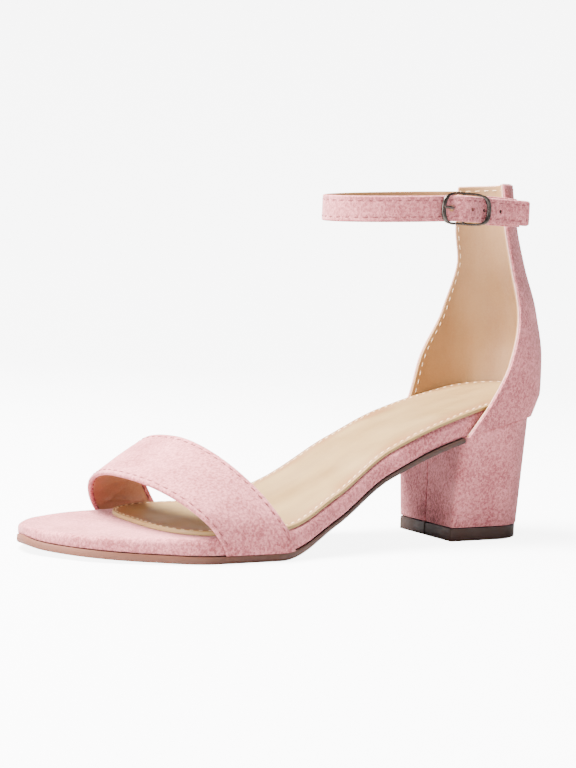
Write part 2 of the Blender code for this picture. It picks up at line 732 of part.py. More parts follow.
def make_buckle_prong():
    """Prong hooked round the centre bar, up through the strap's hole and over the front bar."""
    ring = BAR_WIRE + GAP + PRONG_WIRE
    turn = np.radians(np.linspace(100, 360, 14))
    hook = np.stack([BUCKLE_MIDDLE + ring * np.cos(turn), bar_outward() + ring * np.sin(turn)], -1)
    hole = prong_hole_along()
    under = float(strap_outer_line(hole))
    over = under + STRAP_THICKNESS
    front = BUCKLE_MIDDLE + BUCKLE_HALF_LENGTH
    rest = BUCKLE_LINE + BUCKLE_WIRE + GAP + PRONG_WIRE
    step = PRONG_HOLE_RADIUS
    route = np.array([
        (hole - 3.0 * step, under),
        (hole - 1.4 * step, under - PRONG_DIP),
        (hole - 0.4 * step, under - PRONG_DIP / 2),
        (hole, under + STRAP_THICKNESS / 2),
        (hole + 0.4 * step, over + PRONG_WIRE),
        (hole + 1.3 * step, rest - PRONG_WIRE),
        (front - 2.2 * BUCKLE_WIRE, rest),
        (front + 1.2 * BUCKLE_WIRE, rest),
    ])
    points = np.concatenate([hook, route])
    length = np.concatenate([[0], np.cumsum(np.linalg.norm(np.diff(points, axis=0), axis=1))])
    even = np.linspace(0, length[-1], 44)
    plan = np.stack([flow(even, length, points[:, 0]), flow(even, length, points[:, 1])], -1)
    height = np.full(len(plan), float(ankle_height(BUCKLE_MIDDLE, bar_outward())))
    mesh = wire("buckle_prong", np.column_stack([plan, height]), PRONG_WIRE, closed=False, resolution=2)
    return add_object("buckle_prong", mesh, (0.35, 0.33, 0.31), 0.3, 1.0)


def tab_path(level):
    """Inside of the tab's fold in plan at one edge: along the wing, round the centre bar and back."""
    lap = wing_line(1, level, TAB_LAP)
    lap = lap + outward_normals(lap, 1) * (GAP + TAB_THICKNESS + GAP)
    bar = np.array([BUCKLE_MIDDLE, bar_outward()])
    run = np.linspace(lap[-1, 0] + 0.002, bar[0] - 0.0008, 14)
    knee_outward = STRAP_OUTER_LINE - TAB_FOLD_HALF - TAB_THICKNESS - 1.3 * GAP
    knee = np.array([BUCKLE_MIDDLE - WEAVE_HALF_LENGTH, knee_outward])
    places = np.array([lap[-1, 0], knee[0], bar[0]])
    free = np.stack([run, flow(run, places, np.array([lap[-1, 1], knee[1], bar[1]]))], -1)
    middle = np.concatenate([lap, free])
    parted = ease(middle[:, 0], bar[0] - 0.007, bar[0] - 0.0005)
    open_up = TAB_FOLD_HALF + (BAR_WIRE + GAP - TAB_FOLD_HALF) * parted
    offset = outward_normals(middle, 1) * open_up[:, None]
    turn = np.radians(np.linspace(-80, 80, 9))
    loop = bar + (BAR_WIRE + GAP) * np.stack([np.cos(turn), np.sin(turn)], -1)
    return np.concatenate([middle - offset, loop, (middle + offset)[::-1]])


def make_buckle_tab():
    """Folded tab: from the counter's outer wing round the centre bar and back, slotted for the prong."""
    bar = np.array([BUCKLE_MIDDLE, bar_outward()])
    paths = [tab_path(side * TAB_ROOT_HALF_HEIGHT) for side in (-1, 1)]
    root = 1 - ease(paths[0][:, 0], BUCKLE_MIDDLE - BUCKLE_HALF_LENGTH - 0.0035, BUCKLE_MIDDLE - 0.009)
    half_height = TAB_HALF_HEIGHT + (TAB_ROOT_HALF_HEIGHT - TAB_HALF_HEIGHT) * root
    grids = band(paths, TAB_THICKNESS, half_height)
    piece = add_object("buckle_tab", shell("buckle_tab", *grids), (0.80, 0.56, 0.57), 0.95)
    reach = BAR_WIRE + GAP + 2 * PRONG_WIRE + PRONG_PLAY
    slot = cutter(
        bpy.ops.mesh.primitive_cube_add, size=1.0,
        location=model_place(bar[0], bar[1], float(ankle_height(*bar))),
        scale=(2 * reach, 2 * reach, 2 * (PRONG_WIRE + PRONG_PLAY)))
    combine(piece, slot, "DIFFERENCE")
    return piece


def main():
    """Build the sandal from the floor up."""
    for leftover in list(bpy.data.objects):
        bpy.data.objects.remove(leftover)
    make_outsole()
    make_midsole()
    make_insole()
    make_heel()
    make_heel_tip()
    make_vamp_strap()
    make_counter()
    make_ankle_strap()
    make_buckle_tab()
    make_buckle_frame()
    make_buckle_prong()


main()
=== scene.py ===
"""Looks of the block heel sandal, left shoe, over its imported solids.

The shapes are worked out in the shoemaker's three measures, and turned into the model's frame last: along (from
the back of the heel towards the toe), outward (from the middle line towards the outer side of the foot) and height
(above the floor). Every size is in metres.
"""

import logging
import math
from dataclasses import dataclass, field
from enum import Enum
from typing import Callable, Sequence

import bmesh
import bpy
import numpy as np
from mathutils import Matrix, Vector


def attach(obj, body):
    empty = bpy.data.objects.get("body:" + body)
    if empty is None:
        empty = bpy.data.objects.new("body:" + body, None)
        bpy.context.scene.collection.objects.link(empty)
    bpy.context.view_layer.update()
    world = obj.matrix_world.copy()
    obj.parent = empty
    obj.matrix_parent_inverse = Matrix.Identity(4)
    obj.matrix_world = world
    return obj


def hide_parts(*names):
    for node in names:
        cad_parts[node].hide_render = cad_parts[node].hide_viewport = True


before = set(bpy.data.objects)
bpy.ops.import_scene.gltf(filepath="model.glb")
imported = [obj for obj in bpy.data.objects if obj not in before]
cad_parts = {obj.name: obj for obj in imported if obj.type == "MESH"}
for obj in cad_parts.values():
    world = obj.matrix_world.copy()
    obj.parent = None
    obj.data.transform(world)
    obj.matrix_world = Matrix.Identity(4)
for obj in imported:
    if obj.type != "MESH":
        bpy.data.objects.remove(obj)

LOG = logging.getLogger("sandal")
Place = Callable[[np.ndarray, np.ndarray, np.ndarray], np.ndarray]

# Clearance between pieces that meet
GAP = 0.0003
# Depth step, as a share of a sheet's thickness, that gives the way out of the sheet
PROBE = 2e-4
# How the suede's nap lies, and the span and weight of its patches, blotches and fibres
NAP_TURN = (0.4, 0.2, 0.9)
NAP_STRETCH = (1.0, 1.7, 1.0)
NAP_SPANS = ((0.32, 0.68), (0.42, 0.58), (0.40, 0.60))
NAP_WEIGHTS = (0.36, 0.38, 0.26)


class Side(Enum):
    """The two sides of the foot."""

    OUTER = 1
    INNER = -1


class Slot(Enum):
    """The record's material slots."""

    SUEDE = "pink_suede"
    BEIGE = "lining_beige"
    BROWN = "lining_brown"
    INSOLE = "insole_tan"
    OUTSOLE = "outsole_brown"
    TIP = "heel_tip_brown"
    THREAD = "thread"
    METAL = "buckle_metal"


def flow(at: np.ndarray, places: np.ndarray, values: np.ndarray) -> np.ndarray:
    """Smooth curve through a table's values, which never overshoots them.

    Each piece is a cubic whose slope at a table's place is the harmonic mean of the slopes beside it, and level
    where they differ in sign.

    Args:
        at: Places to read.
        places: The table's places, rising.
        values: The table's values.

    Returns:
        The curve's values.
    """
    at, places, values = (np.asarray(item, float) for item in (at, places, values))
    step = np.diff(places)
    slope = np.diff(values) / step
    tangent = np.empty(len(places))
    tangent[0], tangent[-1] = slope[0], slope[-1]
    before, after = slope[:-1], slope[1:]
    level = before * after <= 0
    total = np.where(level, 1.0, before + after)
    tangent[1:-1] = np.where(level, 0.0, 2 * before * after / total)
    i = np.clip(np.searchsorted(places, at) - 1, 0, len(step) - 1)
    u = np.clip((at - places[i]) / step[i], 0.0, 1.0)
    rise = (2 * u**3 - 3 * u**2 + 1) * values[i] + (3 * u**2 - 2 * u**3) * values[i + 1]
    bend = (u**3 - 2 * u**2 + u) * tangent[i] + (u**3 - u**2) * tangent[i + 1]
    return rise + bend * step[i]


def ease(value: np.ndarray, low: float, high: float) -> np.ndarray:
    """Smooth step from 0 at low to 1 at high."""
    u = np.clip((np.asarray(value, float) - low) / (high - low), 0.0, 1.0)
    return u * u * (3 - 2 * u)


def hump(value: np.ndarray, middle: float, width: float) -> np.ndarray:
    """Bell of height 1 at the middle, which falls to about a third one width away."""
    return np.exp(-(((np.asarray(value, float) - middle) / width) ** 2))


def unit(vectors: np.ndarray) -> np.ndarray:
    """Vectors at length 1."""
    return vectors / np.maximum(np.linalg.norm(vectors, axis=-1, keepdims=True), 1e-12)


def plan_normals(points: np.ndarray) -> np.ndarray:
    """Unit normals in plan, to the right of the way the points run."""
    run = np.gradient(points, axis=0)
    return unit(np.stack([run[..., 1], -run[..., 0]], -1))


def run_length(points: np.ndarray) -> np.ndarray:
    """Length along a line at each of its points."""
    return np.concatenate([[0.0], np.cumsum(np.linalg.norm(np.diff(points, axis=0), axis=1))])


def resample(points: np.ndarray, count: int) -> np.ndarray:
    """A line's points again, evenly spaced, on the smooth curve through them.

    Args:
        points: The line's points, in order.
        count: How many points come back.

    Returns:
        The new points.
    """
    length = run_length(points)
    even = np.linspace(0, length[-1], count)
    return np.stack([flow(even, length, points[:, axis]) for axis in range(points.shape[1])], -1)


@dataclass(frozen=True)
class Last:
    """Plan and heights of the sole, which every other piece follows.

    Rows: share of the length, outer and inner half widths as shares of the ball width, rise of the underside as a
    share of the seat's, thickness of the board and width of the insole's margin as shares of the largest.
    """

    length: float = 0.240
    ball_width: float = 0.082
    seat_rise: float = 0.0536
    outsole_ball: float = 0.0030
    outsole_arch: float = 0.0021
    shank_end: float = 0.50
    ball_start: float = 0.62
    toe_start: float = 0.80
    ball_tilt: float = 0.015
    board: float = 0.0085
    insole: float = 0.0016
    insole_margin: float = 0.0030
    insole_toe: float = 0.195
    insole_round_start: float = 0.155
    insole_round_power: float = 3.3
    seat_inset: float = 0.0012
    seat_inset_start: float = 0.064
    seat_inset_end: float = 0.086
    seat_sweep: float = 0.0046
    seat_middle: float = 0.036
    heel_breast: float = 0.0477
    heel_back: float = 0.0018
    breast_skew: float = 0.080
    columns: tuple = ("share", "outer", "inner", "rise", "board", "margin")
    rows: tuple = (
        (0.000, 0.000, 0.000, 1.000, 1.24, 0.48),
        (0.017, 0.173, 0.170, 0.994, 1.23, 0.48),
        (0.067, 0.305, 0.303, 0.968, 1.14, 0.48),
        (0.146, 0.343, 0.341, 0.894, 1.02, 0.48),
        (0.250, 0.354, 0.328, 0.763, 1.00, 0.42),
        (0.371, 0.355, 0.285, 0.545, 1.00, 0.40),
        (0.500, 0.435, 0.305, 0.222, 1.00, 0.45),
        (0.629, 0.526, 0.399, 0.000, 0.96, 0.55),
        (0.750, 0.520, 0.470, 0.000, 0.82, 0.50),
        (0.854, 0.422, 0.460, 0.013, 0.70, 0.50),
        (0.933, 0.278, 0.388, 0.028, 0.60, 0.50),
        (0.983, 0.076, 0.234, 0.043, 0.55, 0.50),
        (1.000, -0.074, 0.074, 0.082, 0.53, 0.50),
    )

    def value(self, name: str, along: np.ndarray) -> np.ndarray:
        """A column of the table at a place along the sole, eased like the turn of its two ends.

        Args:
            name: The column.
            along: Places along the sole.

        Returns:
            The column's values there.
        """
        table = np.array(self.rows)
        turn = np.arccos(1 - 2 * table[:, 0])
        share = np.clip(np.asarray(along, float) / self.length, 0.0, 1.0)
        return flow(np.arccos(1 - 2 * share), turn, table[:, self.columns.index(name)])

    def edge(self, along: np.ndarray, side: Side) -> np.ndarray:
        """Outward place of the sole's edge on one side."""
        return side.value * self.ball_width * self.value(side.name.lower(), along)

    def rise(self, along: np.ndarray) -> np.ndarray:
        """Height of the outsole's underside."""
        return self.seat_rise * self.value("rise", along)

    def seat(self, along: np.ndarray) -> np.ndarray:
        """Height of the outsole's top, which runs on as the top of the heel block."""
        grow = ease(np.asarray(along) / self.length, self.shank_end, self.ball_start)
        return self.rise(along) + self.outsole_arch + (self.outsole_ball - self.outsole_arch) * grow

    def board_top(self, along: np.ndarray, outward: np.ndarray) -> np.ndarray:
        """Height of the midsole's top, which is raised a little towards the inner side at the ball.

        Args:
            along: Metres from the back of the heel.
            outward: Metres out from the middle line.

        Returns:
            The height in metres.
        """
        share = np.asarray(along) / self.length
        raised = self.ball_tilt * ease(share, self.shank_end, self.ball_start)
        raised = raised * (1 - ease(share, self.toe_start, 1.0))
        thick = self.board * self.value("board", along)
        return self.seat(along) + GAP + thick + raised * (self.edge(along, Side.OUTER) - outward)

    def breast(self, outward: float) -> float:
        """Place of the heel's front face, which stands slightly askew."""
        return self.heel_breast + self.breast_skew * outward

    def model(self, points: np.ndarray) -> np.ndarray:
        """Points in the three measures, in the model's own frame.

        Args:
            points: Along, outward and height in the last axis.

        Returns:
            The points as x, y and z.
        """
        points = np.asarray(points, float)
        middle = (self.heel_breast + self.heel_back) / 2
        return np.stack([middle - points[..., 0], -points[..., 1], points[..., 2]], -1)

    def plan(self, inset: Callable[[np.ndarray], np.ndarray], count: int,
             start: tuple[float, float] = (0.0, 0.0)) -> np.ndarray:
        """Plan outline of the sole, moved inwards square to itself.

        Args:
            inset: How far inwards, from the place along the sole.
            count: Points on each side.
            start: First place along the outer and the inner side.

        Returns:
            Points from the back along the outer side to the toe, and back along the inner side.
        """
        moved = []
        for side, first in zip(Side, start):
            turn = np.linspace(math.acos(1 - 2 * first / self.length), math.pi, count)
            along = self.length * (1 - np.cos(turn)) / 2
            points = np.stack([along, self.edge(along, side)], -1)
            normal = plan_normals(points) * -side.value
            if start[0] == 0.0:
                normal[0] = (-1.0, 0.0)
            normal[-1] = (1.0, 0.0)
            moved.append(points - normal * (inset(along) + 0 * along)[:, None])
        return np.concatenate([moved[0], moved[1][::-1]])


LAST = Last()


def link(thing: bpy.types.Object) -> None:
    """Puts an object into the scene."""
    bpy.context.scene.collection.objects.link(thing)


@dataclass
class Body:
    """Points, faces and surface places of a mesh, gathered before it is made."""

    points: list = field(default_factory=list)
    faces: list = field(default_factory=list)
    places: list = field(default_factory=list)
    count: int = 0

    def add(self, points: np.ndarray, faces: np.ndarray, places: np.ndarray) -> None:
        """Adds points in the three measures, their faces and their own surface places (u, v).

        Args:
            points: Points in the three measures.
            faces: Four point numbers a face, counted from the first new point.
            places: One u and v for each point.
        """
        points = np.asarray(points, float).reshape(-1, 3)
        self.points.append(points)
        self.faces.append(np.asarray(faces, int) + self.count)
        self.places.append(np.asarray(places, float).reshape(-1, 2))
        self.count += len(points)

    def make(self, name: str, sharp: float = 40.0) -> bpy.types.Object:
        """Makes the object: doubles merged, faces outwards, surface places as its UV map.

        Args:
            name: The piece's name.
            sharp: Angle in degrees past which an edge is shaded sharp.

        Returns:
            The new object, at the origin.
        """
        points = LAST.model(np.concatenate(self.points))
        faces = np.concatenate(self.faces)
        places = np.concatenate(self.places)
        mesh = bpy.data.meshes.new(name)
        mesh.from_pydata(points, [], faces.tolist())
        corner = np.empty(len(mesh.loops), int)
        mesh.loops.foreach_get("vertex_index", corner)
        layer = mesh.uv_layers.new(name="surface")
        layer.data.foreach_set("uv", places[corner].astype(np.float32).ravel())
        shape = bmesh.new()
        shape.from_mesh(mesh)
        bmesh.ops.remove_doubles(shape, verts=shape.verts, dist=2e-6)
        bmesh.ops.recalc_face_normals(shape, faces=shape.faces)
        shape.to_mesh(mesh)
        shape.free()
        mesh.shade_smooth()
        mesh.set_sharp_from_angle(angle=math.radians(sharp))
        piece = bpy.data.objects.new(name, mesh)
        link(piece)
        return piece


def shell_faces(keep: np.ndarray) -> np.ndarray:
    """Faces of a wall between two grids of points, the front one first.

    A cell that is kept gives a face on each grid, and every side between a cell that is kept and one that isn't
    gives a face across the wall.

    Args:
        keep: True for each cell of the grid that is there.

    Returns:
        Four point numbers for each face.
    """
    rows, columns = keep.shape[0] + 1, keep.shape[1] + 1
    front = np.arange(rows * columns).reshape(rows, columns)
    back = front + rows * columns
    i, j = np.nonzero(keep)
    face = np.stack([front[i, j], front[i + 1, j], front[i + 1, j + 1], front[i, j + 1]], -1)
    padded = np.pad(keep, 1)
    i, j = np.nonzero(padded[:-1, 1:-1] != padded[1:, 1:-1])
    rim_a = np.stack([front[i, j], front[i, j + 1], back[i, j + 1], back[i, j]], -1)
    i, j = np.nonzero(padded[1:-1, :-1] != padded[1:-1, 1:])
    rim_b = np.stack([front[i, j], front[i + 1, j], back[i + 1, j], back[i, j]], -1)
    return np.concatenate([face, face[:, ::-1] + rows * columns, rim_a, rim_b])


def grid_faces(rows: int, columns: int, wrap_rows: bool = False, wrap_columns: bool = False) -> np.ndarray:
    """Faces of a grid of points, joined to its own start where it wraps.

    Args:
        rows: Rows of the grid.
        columns: Points in a row.
        wrap_rows: Joins the last row to the first.
        wrap_columns: Joins the end of each row to its start.

    Returns:
        Four point numbers for each face.
    """
    number = np.arange(rows * columns).reshape(rows, columns)
    i, j = np.meshgrid(np.arange(rows - (not wrap_rows)), np.arange(columns - (not wrap_columns)), indexing="ij")
    ni, nj = (i + 1) % rows, (j + 1) % columns
    return np.stack([number[i, j], number[ni, j], number[ni, nj], number[i, nj]], -1).reshape(-1, 4)


@dataclass(frozen=True)
class Edge:
    """How one pair of a sheet's edges is made: rounded over, with close rows where marks lie."""

    width: float
    radius: float = 0.0
    marks: tuple[float, ...] = ()
    count: int = 12
    steps: int = 5
    both: bool = True

    def rows(self) -> tuple[np.ndarray, np.ndarray]:
        """Places from 0 to the width, crowded on a quarter turn at the edges, and how deep the face sinks there.

        Returns:
            The places in metres, and the sinking in metres: radius x (1 - sine of the quarter turn).
        """
        turn = np.linspace(0, math.pi / 2, self.steps) if self.radius else np.zeros(1)
        near = self.radius * (1 - np.cos(turn))
        start = np.concatenate([near, np.array(self.marks)])
        end = start if self.both else np.zeros(1)
        middle = np.linspace(start[-1], self.width - end[-1], self.count + 2)[1:-1]
        places = np.concatenate([start, middle, self.width - end[::-1]])
        close = np.minimum(places, self.width - places) if self.both else places
        reach = np.clip(1 - close / max(self.radius, 1e-9), 0, 1)
        return places, self.radius * (1 - np.sqrt(1 - reach**2)) if self.radius else 0 * places


def add_sheet(body: Body, place: Place, u: np.ndarray, v: np.ndarray, front: np.ndarray, back: np.ndarray,
              keep: np.ndarray | None = None) -> None:
    """Adds a wall between two faces of one curved sheet.

    Args:
        body: What it is added to.
        place: Gives points from the two surface places and the depth below the outer face.
        u: First surface place of each grid point, in metres.
        v: Second surface place of each grid point, in metres.
        front: Depth of the front face at each grid point.
        back: Depth of the back face at each grid point.
        keep: Cells that are there, or None for all of them.
    """
    if keep is None:
        keep = np.ones((u.shape[0] - 1, u.shape[1] - 1), bool)
    points = np.stack([place(u, v, front), place(u, v, back)])
    body.add(points, shell_faces(keep), np.broadcast_to(np.stack([u, v], -1), (2, *u.shape, 2)))


def add_rings(body: Body, rings: np.ndarray, top: Callable, bottom: Callable, fill: int) -> None:
    """Adds a solid between plan outlines, each from the back round the outer side and back on the inner side.

    The top and the underside are grids that join the two sides, with their heights worked out from the plan.

    Args:
        body: What it is added to.
        rings: Outlines from the lowest to the highest, as (outline, point, measure).
        top: Height of the top from (along, outward).
        bottom: Height of the underside from (along, outward).
        fill: Cells across the top and the underside.
    """
    levels, count = rings.shape[:2]
    walls = grid_faces(levels, count, wrap_columns=True)
    body.add(rings, walls, rings[..., :2])
    share = np.linspace(0, 1, fill + 1)[None, :, None]
    for ring, height in ((rings[-1], top), (rings[0], bottom)):
        outer, inner = ring[: count // 2, None], ring[::-1][: count // 2, None]
        sheet = outer + (inner - outer) * share
        inside = np.zeros(sheet.shape[:2], bool)
        inside[1:-1, 1:-1] = True
        sheet[..., 2] = np.where(inside, height(sheet[..., 0], sheet[..., 1]), sheet[..., 2])
        body.add(sheet, grid_faces(*sheet.shape[:2]), sheet[..., :2])


def add_tube(body: Body, path: np.ndarray, radius: np.ndarray, reference: Sequence[float], closed: bool = False,
             sides: int = 16, flat: float = 1.0) -> None:
    """Adds a round wire: a circle carried along a path, square to it.

    Args:
        body: What it is added to.
        path: Points of the wire's middle.
        radius: Radius at each point, or one for all.
        reference: A direction that the path never follows.
        closed: Whether the path joins its own start.
        sides: Points round the wire.
        flat: Thickness along the reference, as a share of the width.
    """
    path = np.asarray(path, float)
    step = (np.roll(path, -1, 0) - np.roll(path, 1, 0)) if closed else np.gradient(path, axis=0)
    across = unit(np.cross(unit(step), np.asarray(reference, float)))
    up = np.cross(across, unit(step))
    turn = np.linspace(0, 2 * math.pi, sides, endpoint=False)
    thick = (np.zeros(len(path)) + radius)[:, None, None]
    ring = across[:, None] * np.cos(turn)[:, None] + up[:, None] * np.sin(turn)[:, None] * flat
    points = path[:, None] + ring * thick
    if not closed:
        points = np.concatenate([path[:1, None] + 0 * ring[:1], points, path[-1:, None] + 0 * ring[:1]])
    rows = len(points)
    u, v = np.meshgrid(np.linspace(0, 1, rows) * run_length(path)[-1], turn * 0.001, indexing="ij")
    body.add(points, grid_faces(rows, sides, wrap_rows=closed, wrap_columns=True), np.stack([u, v], -1))


@dataclass(frozen=True)
class Stitch:
    """One sewn stitch: a short thread whose two ends dive into the sheet."""

    length: float = 0.0031
    pitch: float = 0.0041
    width: float = 0.00066
    rise: float = 0.00040
    dive: float = 0.00046
    slant: float = 0.06
    fullness: float = 0.6
    flatness: float = 0.7
    sit: float = 0.25
    probe: float = 4e-4
    rows: int = 8
    sides: int = 8

    def sew(self, body: Body, line: np.ndarray, up: np.ndarray) -> None:
        """Adds a row of stitches along a line.

        Each stitch is a spindle: half length x cosine along the line, width x sine to the power of its fullness
        across it, and its middle line sinks with the square of the distance from its middle.

        Args:
            body: What it is added to.
            line: Points of the row in the three measures.
            up: Unit directions away from the sheet at those points.
        """
        length = run_length(line)
        count = max(2, int(round(length[-1] / self.pitch)))
        at = (np.arange(count) + 0.5) * length[-1] / count
        centre, lift = (np.stack([np.interp(at, length, item[:, axis]) for axis in range(3)], -1)
                        for item in (line, up))
        lift = unit(lift)
        ahead, behind = (np.stack([np.interp(at + step, length, line[:, axis]) for axis in range(3)], -1)
                         for step in (self.probe, -self.probe))
        run = unit(ahead - behind)
        side = np.cross(lift, run)
        run = unit(run + side * self.slant)
        bow, turn = np.meshgrid(np.linspace(0, math.pi, self.rows),
                                np.linspace(0, 2 * math.pi, self.sides, endpoint=False), indexing="ij")
        thick = np.sin(bow).clip(0) ** self.fullness
        x = self.length / 2 * np.cos(bow)
        y = self.width / 2 * thick * np.cos(turn)
        z = self.rise * thick * np.sin(turn) * self.flatness - self.dive * np.cos(bow) ** 2 + self.sit * self.rise
        points = (centre[:, None, None] + run[:, None, None] * x[..., None] + side[:, None, None] * y[..., None]
                  + lift[:, None, None] * z[..., None])
        faces = grid_faces(self.rows, self.sides, wrap_columns=True)
        number = np.arange(count)[:, None, None] * self.rows * self.sides
        places = np.broadcast_to(np.stack([bow / math.pi, turn / (2 * math.pi)], -1), (*points.shape[:3], 2))
        body.add(points, (faces[None] + number).reshape(-1, 4), places)


def sew_on(body: Body, stitch: Stitch, place: Place, u: np.ndarray, v: np.ndarray, depth: float,
           inside: bool = False) -> None:
    """Sews a row on a sheet, along a line of its surface places.

    Args:
        body: What the stitches are added to.
        stitch: The stitch.
        place: The sheet's points from surface places and depth.
        u: First surface places of the line.
        v: Second surface places of the line.
        depth: Depth of the face that is sewn.
        inside: Whether it is the inner face.
    """
    level = np.full(u.shape, depth)
    line = place(u, v, level)
    lift = unit(place(u, v, level - PROBE) - place(u, v, level + PROBE))
    stitch.sew(body, line, -lift if inside else lift)


@dataclass
class Piece:
    """One finished piece of the sandal: its object, the nodes it stands for and its finish."""

    thing: bpy.types.Object
    slot: Slot
    nodes: tuple[str, ...] = ()

    def settle(self, material: bpy.types.Material) -> None:
        """Gives the piece its material, puts it on the body and hides the imported nodes it stands for.

        Args:
            material: What the piece is made of.
        """
        self.thing.data.materials.append(material)
        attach(self.thing, "root")
        if self.nodes:
            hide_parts(*self.nodes)
        LOG.info("%s: %d faces", self.thing.name, len(self.thing.data.polygons))


@dataclass
class Sole:
    """Outsole sheet, covered board and the sock on it.

    The edges' tables give an inset in metres and a share of the height. A pair of places is where something
    starts and where it is complete.
    """

    stations: int = 150
    sheet_edge: tuple = ((0.0006, 0.0), (0.0003, 0.06), (0.0001, 0.16), (0.0, 0.3), (0.0, 0.85), (0.00015, 1.0))
    tread_pitch: float = 0.0040
    tread_depth: float = 0.00022
    tread_slant: float = 0.15
    tread_rim: tuple = (0.004, 0.005)
    tread_start: tuple = (0.135, 0.137)
    tread_end: tuple = (0.222, 0.224)
    rib_flank: tuple = (-0.2, 0.5)
    round_top: float = 0.0020
    board_foot: tuple = (0.4, 0.2)
    board_wall: tuple = (0.3, 0.42)
    board_crown: tuple = (0.55, 0.45)
    sock_edge: tuple = ((0.0, 0.0), (0.0, 0.35), (0.0, 0.62), (0.00010, 0.80), (0.00028, 0.92), (0.00055, 1.0))
    stitch_line: float = 0.0021
    groove: float = 0.00024
    groove_width: float = 0.00035
    groove_steps: tuple = (-0.0009, -0.0005, -0.00025, 0.0, 0.00025, 0.0005, 0.0009)
    wave: float = 0.00010
    wave_rates: tuple = (260, 2.0, 45, 60, 1.0)
    wave_start: tuple = (0.04, 0.08)

    def outsole(self) -> bpy.types.Object:
        """Thin moulded sheet whose underside has shallow ribs across the tread.

        Returns:
            The piece.
        """
        start = [LAST.breast(LAST.edge(LAST.heel_breast, side)) + GAP for side in Side]
        rings = []
        for inset, share in self.sheet_edge:
            plan = LAST.plan(lambda along, inset=inset: np.full(np.shape(along), inset), self.stations, start)
            low, high = LAST.rise(plan[:, 0]), LAST.seat(plan[:, 0])
            rings.append(np.column_stack([plan, low + (high - low) * share]))

        def tread(along: np.ndarray, outward: np.ndarray) -> np.ndarray:
            """Underside: ribs are the flat part of a cosine along the sole, faded out near its edge.

            Args:
                along: Metres from the back of the heel.
                outward: Metres out from the middle line.

            Returns:
                The height in metres.
            """
            edge = np.minimum(LAST.edge(along, Side.OUTER) - outward, outward - LAST.edge(along, Side.INNER))
            turn = 2 * math.pi * (along + self.tread_slant * outward) / self.tread_pitch
            rib = ease(np.cos(turn), *self.rib_flank)
            area = ease(edge, *self.tread_rim) * ease(along, *self.tread_start) * (1 - ease(along, *self.tread_end))
            return LAST.rise(along) + self.tread_depth * (1 - rib) * area

        body = Body()
        add_rings(body, np.array(rings), lambda along, outward: LAST.seat(along), tread, fill=24)
        return body.make("outsole_sheet", 50.0)

    def board(self) -> bpy.types.Object:
        """Suede-covered board: a quarter turn rounds its top edge, a smaller one its foot.

        Returns:
            The piece.
        """
        def room(along: np.ndarray) -> np.ndarray:
            """How far the cover keeps inside the sole's edge, which is more under the counter."""
            return GAP + LAST.seat_inset * (1 - ease(along, LAST.seat_inset_start, LAST.seat_inset_end))

        quarter = np.linspace(0, math.pi / 2, 8)
        (foot_tuck, foot_rise), (crown_start, crown_rise) = self.board_foot, self.board_crown
        foot = [(foot_tuck * (1 - math.sin(t)), foot_rise * (1 - math.cos(t))) for t in quarter[:-1:2]]
        wall = [(0.0, share) for share in self.board_wall]
        crown = [(1 - math.cos(t), crown_start + crown_rise * math.sin(t)) for t in quarter]
        rings = []
        for tuck, share in (*foot, *wall, *crown):
            plan = LAST.plan(lambda along, tuck=tuck: room(along) + tuck * self.round_top, self.stations)
            low, high = LAST.seat(plan[:, 0]) + GAP, LAST.board_top(*plan.T)
            rings.append(np.column_stack([plan, low + (high - low) * share]))
        body = Body()
        add_rings(body, np.array(rings), LAST.board_top, lambda along, outward: LAST.seat(along) + GAP, fill=20)
        return body.make("board_cover")

    def sock_outline(self, tuck: float, count: int) -> np.ndarray:
        """Plan of the sock: inside the sole's edge by its margin, less a tuck, with a blunt round toe.

        The toe is a superellipse, and over the seat the line is swept back under the counter.

        Args:
            tuck: How far inside its own edge.
            count: Points on each side.

        Returns:
            Points from the back round the outer side to the toe, and back along the inner side.
        """
        turn = np.linspace(0, math.pi, count)
        along = LAST.insole_toe * (1 - np.cos(turn)) / 2
        reach = np.clip((along - LAST.insole_round_start) / (LAST.insole_toe - LAST.insole_round_start), 0, 1)
        power = LAST.insole_round_power
        taper = (1 - reach**power) ** (1 / power)
        outer, inner = LAST.edge(along, Side.OUTER), LAST.edge(along, Side.INNER)
        past = LAST.insole_margin * LAST.value("margin", along) + tuck
        half = ((outer - inner) / 2 - past).clip(0) * taper
        back = LAST.seat_sweep * np.clip(1 - along / LAST.seat_middle, 0, None) ** 2
        place = along - back + past * (1 - ease(along, 0.0, LAST.seat_middle)) - tuck * (1 - taper)
        sides = [np.column_stack([place, (outer + inner) / 2 + side.value * half]) for side in Side]
        return np.concatenate([sides[0], sides[1][::-1]])

    def sock_height(self, along: np.ndarray, outward: np.ndarray) -> np.ndarray:
        """Height of the sock's top: the board's, the sock's thickness and a slight wave of soft leather.

        Args:
            along: Metres from the back of the heel.
            outward: Metres out from the middle line.

        Returns:
            The height in metres.
        """
        across, bend, sway, length, start = self.wave_rates
        wave = self.wave * np.sin(outward * across + bend * np.sin(along * sway)) * np.sin(along * length + start)
        return LAST.board_top(along, outward) + GAP + LAST.insole + wave * ease(along, *self.wave_start)

    def sock(self) -> bpy.types.Object:
        """Thin sock with a cut edge, pressed down along its stitched line.

        Its surface places are the place along the sole and the distance from its edge.

        Returns:
            The piece.
        """
        def under(along: np.ndarray, outward: np.ndarray) -> np.ndarray:
            """Height of the sock's underside."""
            return LAST.board_top(along, outward) + GAP

